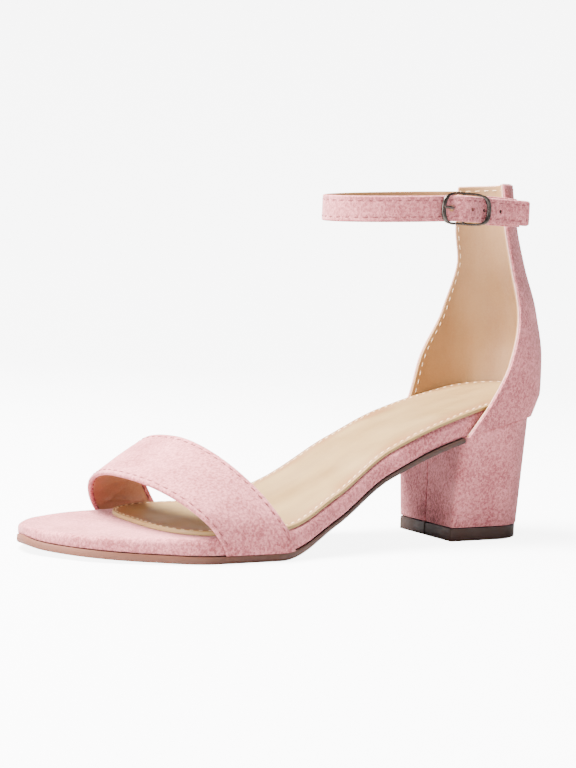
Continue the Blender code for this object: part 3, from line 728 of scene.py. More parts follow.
        rings = []
        pressed = [(self.stitch_line + step, 1.0) for step in self.groove_steps]
        for tuck, share in (*self.sock_edge, *pressed):
            plan = self.sock_outline(tuck, self.stations)
            low = under(*plan.T)
            top = self.sock_height(*plan.T) - self.groove * float(hump(tuck, self.stitch_line, self.groove_width))
            rings.append(np.column_stack([plan, low + (top - low) * share]))
        body = Body()
        add_rings(body, np.array(rings), self.sock_height, under, fill=26)
        rim = self.sock_outline(0.0, 2 * self.stations)
        for number, points in enumerate(body.points):
            close = np.linalg.norm(points[:, None, :2] - rim[None], axis=-1).min(1)
            body.places[number] = np.column_stack([points[:, 0], close])
        return body.make("sock_leather", 60.0)

    def sock_stitches(self) -> bpy.types.Object:
        """Stitches all round the sock, in the pressed line.

        Returns:
            The piece.
        """
        plan = self.sock_outline(self.stitch_line, self.stations)
        top = self.sock_height(*plan.T) - self.groove
        line = np.column_stack([plan, top])
        body = Body()
        stitch = Stitch(length=0.0027, pitch=0.0037, width=0.00074, rise=0.00046)
        stitch.sew(body, line, np.tile((0.0, 0.0, 1.0), (len(line), 1)))
        return body.make("sock_stitches")


@dataclass
class Heel:
    """Covered block and its brown top piece."""

    width: float = 0.0427
    top_width: float = 0.0560
    corner_top: float = 0.0045
    corner_low: float = 0.0016
    tip_height: float = 0.0058
    tip_inset: float = 0.0004
    tip_corner: float = 0.0010
    tip_hollow: float = 0.0006
    seam_depth: float = 0.00060
    seam_width: float = 0.00032
    seam_cell: float = 0.00022
    seam_reach: float = 0.0020
    face_start: float = 0.0005
    roll: float = 0.00035
    top_roll: float = 0.0009
    low_levels: tuple = (0, 0.003, 0.008, 0.015)
    levels: tuple = (0.03, 0.97, 26)
    top_levels: tuple = (0.985, 0.992, 0.997, 1)
    tall_at: float = 0.02

    def outline(self, half: float, back: float, front: float, corner: float) -> np.ndarray:
        """Plan of the block: round at the back, straight sides, rounded corners, a seam down the middle of its front.

        Args:
            half: Half of the width.
            back: Place of the back.
            front: Place of the front face.
            corner: Radius of the front corners.

        Returns:
            Points from the back round the outer side to the middle of the front, and back on the inner side.
        """
        turn = np.linspace(0, math.pi / 2, 30)
        fillet = np.linspace(0, math.pi / 2, 9)
        straight = np.linspace(back + half, front - corner, 9)[1:-1]
        middle = half - corner
        reach = np.concatenate([np.linspace(self.face_start, middle - self.seam_reach, 12),
                                middle - np.arange(7, -1, -1) * self.seam_cell])
        dip = self.seam_depth * hump(reach, middle, self.seam_width)
        sides = []
        for side in Side:
            round_back = np.column_stack([back + half * (1 - np.cos(turn)), half * np.sin(turn)])
            run = np.column_stack([straight, np.full(len(straight), half)])
            ahead, aside = corner * (1 - np.sin(fillet)), corner * (1 - np.cos(fillet))
            round_front = np.column_stack([front - ahead, half - aside])
            face = np.column_stack([front - dip, middle - reach])
            points = np.concatenate([round_back, run, round_front, face])
            points[:, 1] *= side.value
            sides.append(points)
        loop = np.concatenate([sides[0], sides[1][::-1]])
        share = np.clip((loop[:, 0] - back) / (front - back), 0, 1)
        loop[:, 0] += LAST.breast_skew * loop[:, 1] * share
        return loop

    def block(self) -> bpy.types.Object:
        """Suede-covered block, narrowing evenly from the seat to the top piece, its two edges rolled in.

        Returns:
            The piece.
        """
        low = self.tip_height + GAP
        rings = []
        shares = np.concatenate([self.low_levels, np.linspace(*self.levels), self.top_levels])
        tall = LAST.seat(self.tall_at) - low
        for share in shares:
            half = self.width / 2 + (self.top_width - self.width) / 2 * share
            corner = self.corner_low + (self.corner_top - self.corner_low) * share
            near = min(share, 1 - share) * tall
            reach = self.roll if share < 0.5 else self.top_roll
            roll = reach * (1 - math.sqrt(1 - max(0.0, 1 - near / reach) ** 2))
            loop = self.outline(half - roll, LAST.heel_back * (1 - share) + roll, LAST.heel_breast - roll, corner)
            rings.append(np.column_stack([loop, low + (LAST.seat(loop[:, 0]) - low) * share]))
        body = Body()
        add_rings(body, np.array(rings), lambda along, outward: LAST.seat(along),
                  lambda along, outward: 0 * along + low, fill=16)
        return body.make("heel_cover", 55.0)

    def tip(self) -> bpy.types.Object:
        """Moulded top piece with broken edges and a shallow hollow in its tread.

        Each level is how far it lies inside the outline, and its height above the floor.

        Returns:
            The piece.
        """
        rings = []
        high = self.tip_height
        levels = ((0.0060, self.tip_hollow), (0.0052, 0.0), (0.0004, 0.0), (0.00012, 0.00012), (0.0, 0.0004),
                  (0.0, 0.0020), (0.0, 0.0040), (0.0, high - 0.00045), (0.00008, high - 0.00015), (0.0003, high))
        for inset, height in levels:
            edge = self.tip_inset + inset
            loop = self.outline(self.width / 2 - edge, LAST.heel_back + edge, LAST.heel_breast - inset, self.tip_corner)
            rings.append(np.column_stack([loop, np.full(len(loop), height)]))
        body = Body()
        add_rings(body, np.array(rings), lambda along, outward: np.full(np.shape(along), high),
                  lambda along, outward: np.full(np.shape(along), self.tip_hollow), fill=16)
        return body.make("heel_top_piece", 35.0)


@dataclass
class ToeBand:
    """Wide band over the toes: suede with folded edges, and a brown lining inside it.

    Each row gives the outer and the inner superellipse's power, the power of the lean and the sideways shift of
    the crest. Each crease gives its middle, its slope across the band, its height and its width.
    """

    front_outer: float = 0.177
    front_inner: float = 0.188
    foot_outer: float = 0.032
    foot_inner: float = 0.028
    front_height: float = 0.028
    rear_height: float = 0.042
    lean: float = 0.0235
    leg: float = 0.0075
    thickness: float = 0.0019
    skive: float = 0.0010
    proud: float = 0.0011
    leg_turn: float = 0.08 * math.pi
    breadth: float = 0.034
    rim: float = 0.0024
    stitch_line: float = 0.0021
    front_row: tuple = (2.50, 1.65, 1.30, 0.026)
    rear_row: tuple = (1.85, 2.60, 1.10, 0.068)
    stations: int = 170
    crowd: float = 0.033
    normal_span: tuple = (0.75, 1.6)
    skive_span: tuple = (0.5, 2.5)
    suede_rows: tuple = (0.0013, 0.0017, 0.0019, 0.0021, 0.0023, 0.0024, 0.0026, 0.0030)
    press: float = 0.09
    press_width: float = 0.0006
    soft: tuple = (0.05, 9, 160)
    soft_start: tuple = (0.003, 0.008)
    recess: float = 0.42
    recess_step: float = 0.0002
    lining_round: float = 0.00022
    lining_front: float = 0.62
    crease_middle: float = 0.017
    crease_start: tuple = (0.004, 0.008)
    crease_end: tuple = (0.028, 0.031)
    creases: tuple = ((0.27, 5, 0.42, 0.016), (0.36, -7, 0.36, 0.020), (0.46, 6, 0.30, 0.022), (0.62, -5, 0.16, 0.04))
    stitch_start: float = 0.12

    def outer(self, turn: np.ndarray, share: np.ndarray) -> np.ndarray:
        """Outer face of the band: upright legs, and between them a superellipse that leans forwards as it rises.

        Args:
            turn: From 0 at the outer foot to pi at the inner one.
            share: From 0 at the front edge to 1 at the rear one.

        Returns:
            Points in the three measures.
        """
        outer_round, inner_round, lean_power, crest = (
            a + (b - a) * share for a, b in zip(self.front_row, self.rear_row))
        height = self.front_height + (self.rear_height - self.front_height) * share
        outer_along = self.front_outer - self.foot_outer * share
        inner_along = self.front_inner - self.foot_inner * share
        leg = np.clip(np.minimum(turn, math.pi - turn) / self.leg_turn, 0, 1)
        leg_lean = self.lean * (self.leg * leg / height) ** lean_power
        outer_edge = LAST.edge(outer_along + leg_lean, Side.OUTER) + self.proud
        inner_edge = LAST.edge(inner_along + leg_lean, Side.INNER) - self.proud
        arch = np.clip((turn - self.leg_turn) / (math.pi - 2 * self.leg_turn), 0, 1) * math.pi
        power = 2 / np.where(arch < math.pi / 2, outer_round, inner_round)
        across = (1 - np.sign(np.cos(arch)) * np.abs(np.cos(arch)) ** power) / 2
        rise = np.sin(arch).clip(0) ** power
        lift = self.leg * leg + (height - self.leg) * rise
        along = outer_along + (inner_along - outer_along) * across + self.lean * (lift / height) ** lean_power
        outward = outer_edge + (inner_edge - outer_edge) * across - LAST.ball_width * crest * rise
        foot = LAST.seat(outer_along) + (LAST.seat(inner_along) - LAST.seat(outer_along)) * across + GAP
        return np.stack([along, outward, foot + lift], -1)

    def place(self, turn: np.ndarray, across: np.ndarray, depth: np.ndarray) -> np.ndarray:
        """Points of the band below its outer face.

        The face's own normal is used, and at the two legs it turns to straight outwards.

        Args:
            turn: From the outer foot to the inner one.
            across: Metres from the front edge.
            depth: Depth as a share of the thickness, which is less at the feet.

        Returns:
            Points in the three measures.
        """
        share = across / self.breadth
        step = 2e-3
        low, high = self.outer(turn - step, share), self.outer(turn + step, share)
        front, rear = self.outer(turn, share - step), self.outer(turn, share + step)
        normal = unit(np.cross(rear - front, high - low))
        side = np.zeros_like(normal)
        side[..., 1] = np.where(turn < math.pi / 2, 1.0, -1.0)
        end = np.minimum(turn, math.pi - turn)
        near = ease(end, *(share * self.leg_turn for share in self.normal_span))[..., None]
        normal = unit(side + (normal - side) * near)
        body = ease(end, *(share * self.leg_turn for share in self.skive_span))
        thick = self.skive + (self.thickness - self.skive) * body
        return self.outer(turn, share) - normal * (thick * depth)[..., None]

    def turns(self, gap: float = 0.0) -> np.ndarray:
        """Stations round the band, closer where its legs meet the arch."""
        even = np.linspace(0, 1, self.stations)
        return gap + (math.pi - 2 * gap) * (even - self.crowd * np.sin(4 * math.pi * even))

    def suede(self) -> bpy.types.Object:
        """Suede face, turned in over both long edges, where it is as thick as the whole band.

        Returns:
            The piece.
        """
        across, sink = Edge(self.breadth, self.thickness / 2, self.suede_rows, count=26, steps=6).rows()
        turn = self.turns()
        u, v = np.meshgrid(turn, across, indexing="ij")
        sunk = np.broadcast_to(sink / self.thickness, u.shape)
        close = np.minimum(v, self.breadth - v)
        press = self.press * hump(close, self.stitch_line, self.press_width)
        soft_depth, soft_round, soft_across = self.soft
        soft = soft_depth * np.sin(u * soft_round + v * soft_across) * ease(close, *self.soft_start)
        under = self.recess * ease(close, self.rim, self.rim + self.recess_step)
        body = Body()
        add_sheet(body, self.place, u, v, np.maximum(sunk, press + soft), 1 - np.maximum(sunk, under))
        return body.make("toe_band_suede", 50.0)

    def lining(self) -> bpy.types.Object:
        """Brown lining inside the folded edges, with a few creases where it bends at the inner foot.

        Returns:
            The piece.
        """
        width = self.breadth - 2 * self.rim - 2 * self.recess_step
        across, sink = Edge(width, self.lining_round, (0.0010,), count=60, steps=4).rows()
        turn = self.turns(0.004)
        u, v = np.meshgrid(turn, across + self.rim + self.recess_step, indexing="ij")
        sunk = np.broadcast_to(sink / self.thickness, u.shape)
        far = math.pi - u
        crease = np.zeros_like(u)
        for middle, slope, height, reach in self.creases:
            crease = crease + height * hump(far, middle + slope * (v - self.crease_middle), reach)
        crease = crease * ease(v, *self.crease_start) * (1 - ease(v, *self.crease_end))
        body = Body()
        add_sheet(body, self.place, u, v, self.lining_front + 0 * u, 1.0 - sunk + crease)
        return body.make("toe_band_lining", 50.0)

    def stitches(self) -> bpy.types.Object:
        """Rows along both long edges, on the suede, and where they come through on the fold inside.

        Returns:
            The piece.
        """
        turn = np.linspace(self.stitch_start, math.pi - self.stitch_start, 300)
        body = Body()
        for across in (self.stitch_line, self.breadth - self.stitch_line):
            line = np.full(turn.shape, across)
            sew_on(body, Stitch(), self.place, turn, line, 0.08)
            sew_on(body, Stitch(), self.place, turn, line, 1.0, inside=True)
        return body.make("toe_band_stitches")


@dataclass
class Counter:
    """Hollow back of the upper: a suede wall and a beige lining, cut flush, with a light edge line.

    Rows: share of the height, swell of the back and place of the widest point as shares of the sole's length,
    spread of the two sides as shares of the ball width, and places of the two front edges.
    """

    top: float = 0.1574
    top_slope: float = -0.075
    top_tilt: float = 0.020
    wall: float = 0.0022
    girth: float = 0.112
    tall: float = 0.100
    stitch_line: float = 0.0020
    split: float = 0.50
    split_half: float = 0.01
    suede_rows: tuple = (0.0013, 0.0016, 0.0020, 0.0024, 0.0028)
    suede_round: float = 0.00045
    press: float = 0.06
    press_width: float = 0.0005
    lining_rows: tuple = (0.0013, 0.0020, 0.0028)
    lining_round: float = 0.00035
    wave: tuple = (0.045, 190, 3, 90)
    wave_middle: float = 0.060
    wave_width: float = 0.030
    wave_start: tuple = (0.02, 0.04)
    wave_end: tuple = (0.080, 0.092)
    line_inset: float = 0.00005
    line_corner: float = 0.0004
    line_wire: float = 0.00042
    levels: tuple = (0, 0.025, 0.05, 0.075, 0.1, 0.15, 0.2, 0.28, 0.36, 0.45, 0.55, 0.65, 0.75, 0.88, 1.0)
    rows: tuple = (
        (0.00, 0.001, 0.138, 0.000, 0.000, 0.206, 0.190),
        (0.05, 0.012, 0.133, 0.004, 0.002, 0.182, 0.177),
        (0.10, 0.020, 0.129, 0.009, 0.004, 0.161, 0.161),
        (0.25, 0.021, 0.131, 0.017, 0.005, 0.119, 0.141),
        (0.45, 0.005, 0.153, 0.013, -0.001, 0.098, 0.100),
        (0.65, -0.025, 0.191, -0.005, -0.015, 0.110, 0.088),
        (0.82, -0.044, 0.220, -0.025, -0.030, 0.121, 0.102),
        (1.00, -0.056, 0.244, -0.044, -0.044, 0.125, 0.108),
    )

    def value(self, column: int, share: np.ndarray) -> np.ndarray:
        """One column of the table at a share of the height."""
        table = np.array(self.rows)
        return flow(share, table[:, 0], table[:, column])

    def half_line(self, share: np.ndarray, around: np.ndarray, side: Side) -> np.ndarray:
        """Inner face in plan on one side: low down the sole's outline, higher up half an ellipse.

        Args:
            share: Share of the height.
            around: From 0 at the back to 1 at the front edge.
            side: The side of the foot.

        Returns:
            Points in plan.
        """
        outer = side is Side.OUTER
        back = LAST.seat_inset - LAST.length * self.value(1, share)
        middle = LAST.length * self.value(2, share)
        edge = LAST.length * self.value(5 if outer else 6, share)
        reach = middle - back
        last = np.where(edge < middle, np.arccos(np.clip(1 - (edge - back) / reach, -1, 1)),
                        math.pi / 2 + (edge - middle) / reach)
        turn = around * last
        past = np.clip(turn - math.pi / 2, 0, None)
        curve = np.minimum(turn, math.pi / 2)
        along = back + reach * (1 - np.cos(curve)) + reach * past
        seat_along = LAST.seat_middle * (1 - np.cos(curve)) + LAST.seat_middle * past
        low_half = side.value * LAST.edge(seat_along, side)
        high_half = side.value * LAST.edge(LAST.seat_middle, side) * np.sin(curve)
        half = low_half + (high_half - low_half) * ease(share, 0.05, 0.40)
        spread = GAP / 2 - LAST.seat_inset + LAST.ball_width * self.value(3 if outer else 4, share)
        return np.stack([along, side.value * (half + spread * np.sin(curve))], -1)

    def plan(self, around: np.ndarray, share: np.ndarray) -> np.ndarray:
        """Inner face in plan, from the inner side's edge (-1) round the back to the outer side's edge (1)."""
        sides = [self.half_line(share, np.abs(around), side) for side in Side]
        return np.where((around >= 0)[..., None], sides[0], sides[1])

    def surface(self, around: np.ndarray, share: np.ndarray, depth: np.ndarray) -> np.ndarray:
        """Points of the wall: depth runs from 0 on the outer face to 1 on the inner one.

        Args:
            around: From the inner side's edge to the outer side's.
            share: Share of the height.
            depth: Depth as a share of the wall.

        Returns:
            Points in the three measures.
        """
        inner = self.plan(around, share)
        step = 1e-3
        run = self.plan(around + step, share) - self.plan(around - step, share)
        normal = unit(np.stack([run[..., 1], -run[..., 0]], -1))
        low = LAST.seat(np.clip(inner[..., 0], 0, None)) + GAP
        top = self.top + self.top_slope * (inner[..., 0] - 0.010) + self.top_tilt * inner[..., 1]
        plan = inner - normal * (self.wall * (1 - depth))[..., None]
        return np.concatenate([plan, (low + (top - low) * share)[..., None]], -1)

    def place(self, run: np.ndarray, drop: np.ndarray, depth: np.ndarray) -> np.ndarray:
        """Points of the wall from metres round it and metres below its top line."""
        return self.surface(2 * run / self.girth - 1, 1 - drop / self.tall, depth)

    def grid(self) -> np.ndarray:
        """Outer face at the solid's own stations, as (station, level, measure)."""
        around, share = np.meshgrid(np.linspace(-1, 1, 33), self.levels, indexing="ij")
        return self.surface(around, share, np.zeros(around.shape))

    def net(self, marks: tuple[float, ...], radius: float) -> tuple[np.ndarray, ...]:
        """Surface places of the wall's grid and how deep its rounded edges sink, as a share of the wall.

        Args:
            marks: Distances from the edges that get a row of their own.
            radius: Radius of the rounded edges.

        Returns:
            Places round the wall, places down it, and the sinking.
        """
        run, run_sink = Edge(self.girth, radius, marks, count=84).rows()
        drop, drop_sink = Edge(self.tall, radius, marks, count=74, both=False).rows()
        u, v = np.meshgrid(run, drop, indexing="ij")
        return u, v, np.maximum(run_sink[:, None], drop_sink[None]) / self.wall

    def suede(self) -> bpy.types.Object:
        """Suede wall, pressed a little along the stitched line.

        Returns:
            The piece.
        """
        u, v, sunk = self.net(self.suede_rows, self.suede_round)
        close = np.minimum(np.minimum(u, self.girth - u), v)
        press = self.press * hump(close, self.stitch_line, self.press_width)
        body = Body()
        back = np.full(u.shape, self.split - self.split_half)
        add_sheet(body, self.place, u, v, np.maximum(sunk, press), back)
        return body.make("counter_suede", 55.0)

    def lining(self) -> bpy.types.Object:
        """Beige lining, with soft waves where it was pulled over the back.

        Returns:
            The piece.
        """
        u, v, sunk = self.net(self.lining_rows, self.lining_round)
        depth, down, bend, around = self.wave
        wave = depth * np.sin(v * down + bend * np.sin(u * around)) * hump(u, self.wave_middle, self.wave_width)
        wave = wave * ease(v, *self.wave_start) * (1 - ease(v, *self.wave_end))
        body = Body()
        front = np.full(u.shape, self.split + self.split_half)
        add_sheet(body, self.place, u, v, front, 1 - sunk - np.abs(wave))
        return body.make("counter_lining", 55.0)

    def edge_line(self) -> bpy.types.Object:
        """Light line between the two layers, down both front edges and along the top.

        Returns:
            The piece.
        """
        inset, corner = self.line_inset, self.line_corner
        end = self.girth - inset
        up, over = np.linspace(self.tall * 0.995, corner, 90), np.linspace(corner, end - corner, 130)
        u = np.concatenate([np.full(up.shape, inset), over, np.full(up.shape, end)])
        v = np.concatenate([up, np.full(over.shape, inset), up[::-1]])
        half = np.full(u.shape, self.split)
        line = self.place(u, v, half)
        away = unit(self.place(u, v, half - 0.05) - self.place(u, v, half + 0.05))
        body = Body()
        add_tube(body, line, np.array(self.line_wire), away, sides=10, flat=0.9)
        return body.make("counter_edge_line")

    def stitches(self, inside: bool) -> bpy.types.Object:
        """Row along the front edges and the top, on one face.

        Args:
            inside: Whether it is the row on the lining.

        Returns:
            The piece.
        """
        inset = self.stitch_line
        up, over = np.linspace(self.tall * 0.90, inset, 160), np.linspace(inset, self.girth - inset, 200)
        u = np.concatenate([np.full(up.shape, inset), over, np.full(up.shape, self.girth - inset)])
        v = np.concatenate([up, np.full(over.shape, inset), up[::-1]])
        body = Body()
        if inside:
            sew_on(body, Stitch(width=0.00045), self.place, u, v, 1.0, inside=True)
        else:
            sew_on(body, Stitch(), self.place, u, v, 0.05)
        return body.make("counter_stitches_inside" if inside else "counter_stitches")


@dataclass
class Run:
    """A narrow band carried along two plan lines, under its lower and its upper edge."""

    low: np.ndarray
    high: np.ndarray
    half: np.ndarray
    nominal: float
    thickness: float
    height: Callable[[np.ndarray, np.ndarray], np.ndarray]

    def __post_init__(self) -> None:
        """Works out the band's length and its two lines' normals."""
        self.length = float((run_length(self.low)[-1] + run_length(self.high)[-1]) / 2)
        self.normals = [plan_normals(line) for line in (self.low, self.high)]

    def place(self, run: np.ndarray, level: np.ndarray, depth: np.ndarray) -> np.ndarray:
        """Points of the band.

        Args:
            run: Metres along the band.
            level: Metres from its middle line, at its full width.
            depth: Depth below its outer face, as a share of its thickness.

        Returns:
            Points in the three measures.
        """
        at = np.clip(run / self.length, 0, 1) * (len(self.low) - 1)
        number = np.arange(len(self.low))
        share = (level / self.nominal + 1) / 2

        def read(values: np.ndarray) -> np.ndarray:
            """A line's values at those places."""
            return np.stack([np.interp(at, number, values[:, axis]) for axis in (0, 1)], -1)

        edges = [read(line) for line in (self.low, self.high)]
        normals = [read(normal) for normal in self.normals]
        plan = edges[0] + (edges[1] - edges[0]) * share[..., None]
        normal = unit(normals[0] + (normals[1] - normals[0]) * share[..., None])
        rise = [self.height(edge[..., 0], edge[..., 1]) for edge in edges]
        height = rise[0] + (rise[1] - rise[0]) * share
        height = height + np.interp(at, number, self.half) * level / self.nominal
        plan = plan + normal * (self.thickness * (1 - depth))[..., None]
        return np.concatenate([plan, height[..., None]], -1)


@dataclass
class Ankle:
    """Sizes that the ankle strap, its tab and its buckle share."""

    counter: Counter
    middle: float = 0.0589
    half_length: float = 0.0472
    half_width: float = 0.0250
    level: float = 0.1452
    slope: float = -0.079
    tilt: float = -0.046
    strap_line: float = 0.0242
    tail_end: float = 0.0193
    tail_spread: float = 0.0012
    weave_rise: float = 0.00315
    weave_half: float = 0.0110
    buckle: float = 0.0550
    buckle_half: float = 0.0123
    buckle_wire: float = 0.0009
    buckle_line: float = 0.0270
    buckle_dip: float = 0.0020
    bar_wire: float = 0.00065
    prong_wire: float = 0.00055
    prong_play: float = 0.0004
    hole_ahead: float = 0.0069
    width: float = 0.0110
    thickness: float = 0.0016

    def height(self, along: np.ndarray, outward: np.ndarray) -> np.ndarray:
        """Height of the strap's middle line, which lies level behind the buckle."""
        level = np.where(outward > 0, np.maximum(along, self.middle), along)
        return self.level + self.slope * (level - self.middle) + self.tilt * outward

    def wing(self, side: Side, level: float, length: float) -> np.ndarray:
        """Outer face of the counter's wing in plan, at one level, over the last length before its front edge.

        Args:
            side: The side of the foot.
            level: Height above the strap's middle line.
            length: How far back from the front edge.

        Returns:
            Points in plan towards the edge.
        """
        face = self.counter.grid()
        columns = face[16:] if side is Side.OUTER else face[16::-1]
        line = []
        for points in columns:
            plan = points[-2, :2]
            for _ in range(4):
                height = float(self.height(*plan)) + level
                plan = np.array([np.interp(height, points[:, 2], points[:, axis]) for axis in (0, 1)])
            line.append(plan)
        line = np.array(line)
        away = run_length(line[::-1])[::-1]
        even = np.linspace(length, 0, 9)
        return np.stack([np.interp(-even, -away, line[:, axis]) for axis in (0, 1)], -1)

    def away(self, line: np.ndarray, side: Side) -> np.ndarray:
        """Unit normals in plan of a line on one side of the foot, facing away from it."""
        normal = plan_normals(line)
        return normal * np.sign(normal[-1, 1] * side.value)

    def strap_outward(self, along: np.ndarray) -> np.ndarray:
        """Inner face of the strap on the outer side: over the buckle's bar, and on as a tail.

        Args:
            along: Metres from the back of the heel.

        Returns:
            Metres out from the middle line.
        """
        weave = np.cos(np.clip((along - self.buckle) / self.weave_half, -1, 1) * math.pi / 2) ** 2
        tail_start = self.buckle - self.weave_half
        spread = np.clip((tail_start - along) / (tail_start - self.tail_end), 0, None)
        return self.strap_line + self.weave_rise * weave + self.tail_spread * spread

    def bar_outward(self) -> float:
        """Outward place of the buckle's centre bar."""
        return self.buckle_line - self.buckle_dip


@dataclass
class AnkleStrap:
    """Strap with punched holes and sewn edges, lined in beige."""

    ankle: Ankle
    lap: float = 0.0110
    ring_start: float = 0.0070
    ring_end: float = math.radians(76)
    hole_pitch: float = 0.0089
    hole: float = 0.0009
    prong_hole: float = 0.0014
    cell: float = 0.00055
    corner: float = 0.0018
    stitch_inset: float = 0.0020
    stations: int = 800
    suede_round: float = 0.0007
    suede_back: float = 0.66
    lining_front: float = 0.68
    lining_round: float = 0.00035
    lining_breadth: float = 0.985
    hole_round: float = 0.16
    press: float = 0.07
    press_width: float = 0.0006
    # Depths and radii of the dark discs that paint shade into the free holes
    shade_disc_depths: tuple = (1.0, 0.80, 0.74, 0.72)
    shade_disc_radii: tuple = (1.02, 1.02, 0.9, 0.6)

    def edge_path(self, level: float) -> np.ndarray:
        """Inner face of one edge in plan: on the inner wing, round the ankle's ellipse, and along the outer side.

        Args:
            level: The edge's height above the strap's middle.

        Returns:
            Along and outward of each station.
        """
        ankle = self.ankle
        lap = ankle.wing(Side.INNER, level, self.lap)
        lap = lap + ankle.away(lap, Side.INNER) * GAP
        start = math.acos((lap[-1, 0] + self.ring_start - ankle.middle) / ankle.half_length)
        turn = np.linspace(-start, self.ring_end, 44)
        ring = np.stack([ankle.middle + ankle.half_length * np.cos(turn), ankle.half_width * np.sin(turn)], -1)
        along = np.linspace(ring[-1, 0] - 0.003, ankle.tail_end, 36)
        side = np.stack([along, ankle.strap_outward(along)], -1)
        return resample(np.concatenate([lap, ring, side]), self.stations)

    def run(self) -> Run:
        """The strap as a band, with rounded corners at its two ends.

        Returns:
            The band.
        """
        half = self.ankle.width / 2
        low, high = (self.edge_path(side * half) for side in (-1, 1))
        length = run_length(low)[-1]
        near = np.minimum(np.linspace(0, length, self.stations), np.linspace(length, 0, self.stations))
        reach = np.clip(1 - near / self.corner, 0, 1)
        width = half - self.corner * (1 - np.sqrt(1 - reach**2))
        return Run(low, high, width, half, self.ankle.thickness, self.ankle.height)

    def hole_places(self, run: Run) -> np.ndarray:
        """Metres along the strap to each hole's middle, the prong's hole first.

        Args:
            run: The strap as a band.

        Returns:
            The four places.
        """
        middle = (run.low + run.high) / 2
        tail = slice(len(middle) // 2, None)
        along = self.ankle.buckle + self.ankle.hole_ahead - self.hole_pitch * np.arange(4)
        return np.interp(-along, -middle[tail, 0], np.linspace(0, run.length, len(middle))[tail])

    def net(self, run: Run) -> tuple[np.ndarray, ...]:
        """The strap's grid, drawn round each punched hole.

        Stations are spaced so that each hole lies on one. Two cells round it are left out, and the points up to
        four cells away slide from a circle at the hole's edge to their own square.

        Args:
            run: The strap as a band.

        Returns:
            Surface places along and across, which cells are there, and a mask that is 1 at the holes' edges.
        """
        at = self.hole_places(run)
        knots = np.concatenate([[0], at, [run.length]])
        cells = np.maximum(np.round(np.diff(knots) / self.cell), 1).astype(int)
        mark = np.concatenate([[0], np.cumsum(cells)])
        u_line = np.interp(np.arange(mark[-1] + 1), mark, knots)
        edge, _ = Edge(self.ankle.width, self.suede_round, count=0).rows()
        near = edge[: len(edge) // 2] - self.ankle.width / 2
        v_line = np.concatenate([near, np.arange(-8, 9) * self.cell, -near[::-1]])
        u, v = np.meshgrid(u_line, v_line, indexing="ij")
        keep = np.ones((len(u_line) - 1, len(v_line) - 1), bool)
        rim = np.zeros(u.shape)
        across = len(v_line) // 2
        i, j = np.meshgrid(np.arange(-4, 5), np.arange(-4, 5), indexing="ij")
        ring = np.maximum(np.abs(i), np.abs(j))
        turn = np.arctan2(j, i)
        share = np.clip((ring - 2) / 2, 0, 1)
        for number, (station, place) in enumerate(zip(mark[1:-1], at)):
            radius = (self.prong_hole if number == 0 else self.hole) + (ring - 2) * self.cell
            rows, columns = slice(station - 4, station + 5), slice(across - 4, across + 5)
            for grid, centre, way in ((u, place, np.cos(turn)), (v, 0.0, np.sin(turn))):
                square = grid[rows, columns]
                grid[rows, columns] = np.where(ring < 2, square, centre + radius * way * (1 - share)
                                               + (square - centre) * share)
            keep[station - 2 : station + 2, across - 2 : across + 2] = False
            rim[rows, columns] = np.maximum(rim[rows, columns], ring == 2)
        return u, v, keep, rim

    def sunk(self, u: np.ndarray, v: np.ndarray, run: Run, rim: np.ndarray, radius: float) -> np.ndarray:
        """How deep the rounded edges sink: radius x (1 - cosine) over the last radius before an edge.

        Args:
            u: Metres along the strap of each grid point.
            v: Metres across it of each grid point.
            run: The strap as a band.
            rim: How near each point is to a hole's rim, from 0 to 1.
            radius: Radius of the rounded edges.

        Returns:
            The sinking, as a share of the strap's thickness.
        """
        close = np.minimum(np.minimum(u, run.length - u), self.ankle.width / 2 - np.abs(v))
        reach = np.clip(1 - close / radius, 0, 1)
        sink = radius / self.ankle.thickness * (1 - np.sqrt(1 - reach**2))
        return np.maximum(sink, self.hole_round * rim)

    def suede(self, run: Run) -> bpy.types.Object:
        """Suede layer with its holes, pressed along the two sewn rows.

        Args:
            run: The strap as a band.

        Returns:
            The piece.
        """
        u, v, keep, rim = self.net(run)
        row = self.ankle.width / 2 - self.stitch_inset
        press = self.press * hump(np.abs(v), row, self.press_width)
        sunk = self.sunk(u, v, run, rim, self.suede_round)
        body = Body()
        add_sheet(body, run.place, u, v, np.maximum(sunk, press), np.full(u.shape, self.suede_back), keep)
        return body.make("ankle_strap_suede", 55.0)

    def lining(self, run: Run) -> bpy.types.Object:
        """Beige layer inside the strap, with the same holes.

        Args:
            run: The strap as a band.

        Returns:
            The piece.
        """
        u, v, keep, rim = self.net(run)
        sunk = self.sunk(u, v, run, rim, self.lining_round)
        front = np.full(u.shape, self.lining_front)
        body = Body()
        add_sheet(body, run.place, u, v * self.lining_breadth, front, 1 - sunk, keep)
        return body.make("ankle_strap_lining", 55.0)

    def hole_shade_discs(self, run: Run) -> bpy.types.Object:
        """Dark discs at the bottom of each free hole, painted shade that darkens the holes, with a rounded top edge.

        Args:
            run: The strap as a band.

        Returns:
            The piece.
        """
        depth = np.array(self.shade_disc_depths)
        radius = self.hole * np.array(self.shade_disc_radii)
        body = Body()
        for place in self.hole_places(run)[1:]:
            path = run.place(np.full(depth.shape, place), np.zeros(depth.shape), depth)
            add_tube(body, path, radius, (0.0, 0.0, 1.0), sides=20)
        return body.make("ankle_strap_painted_hole_shade", 30.0)

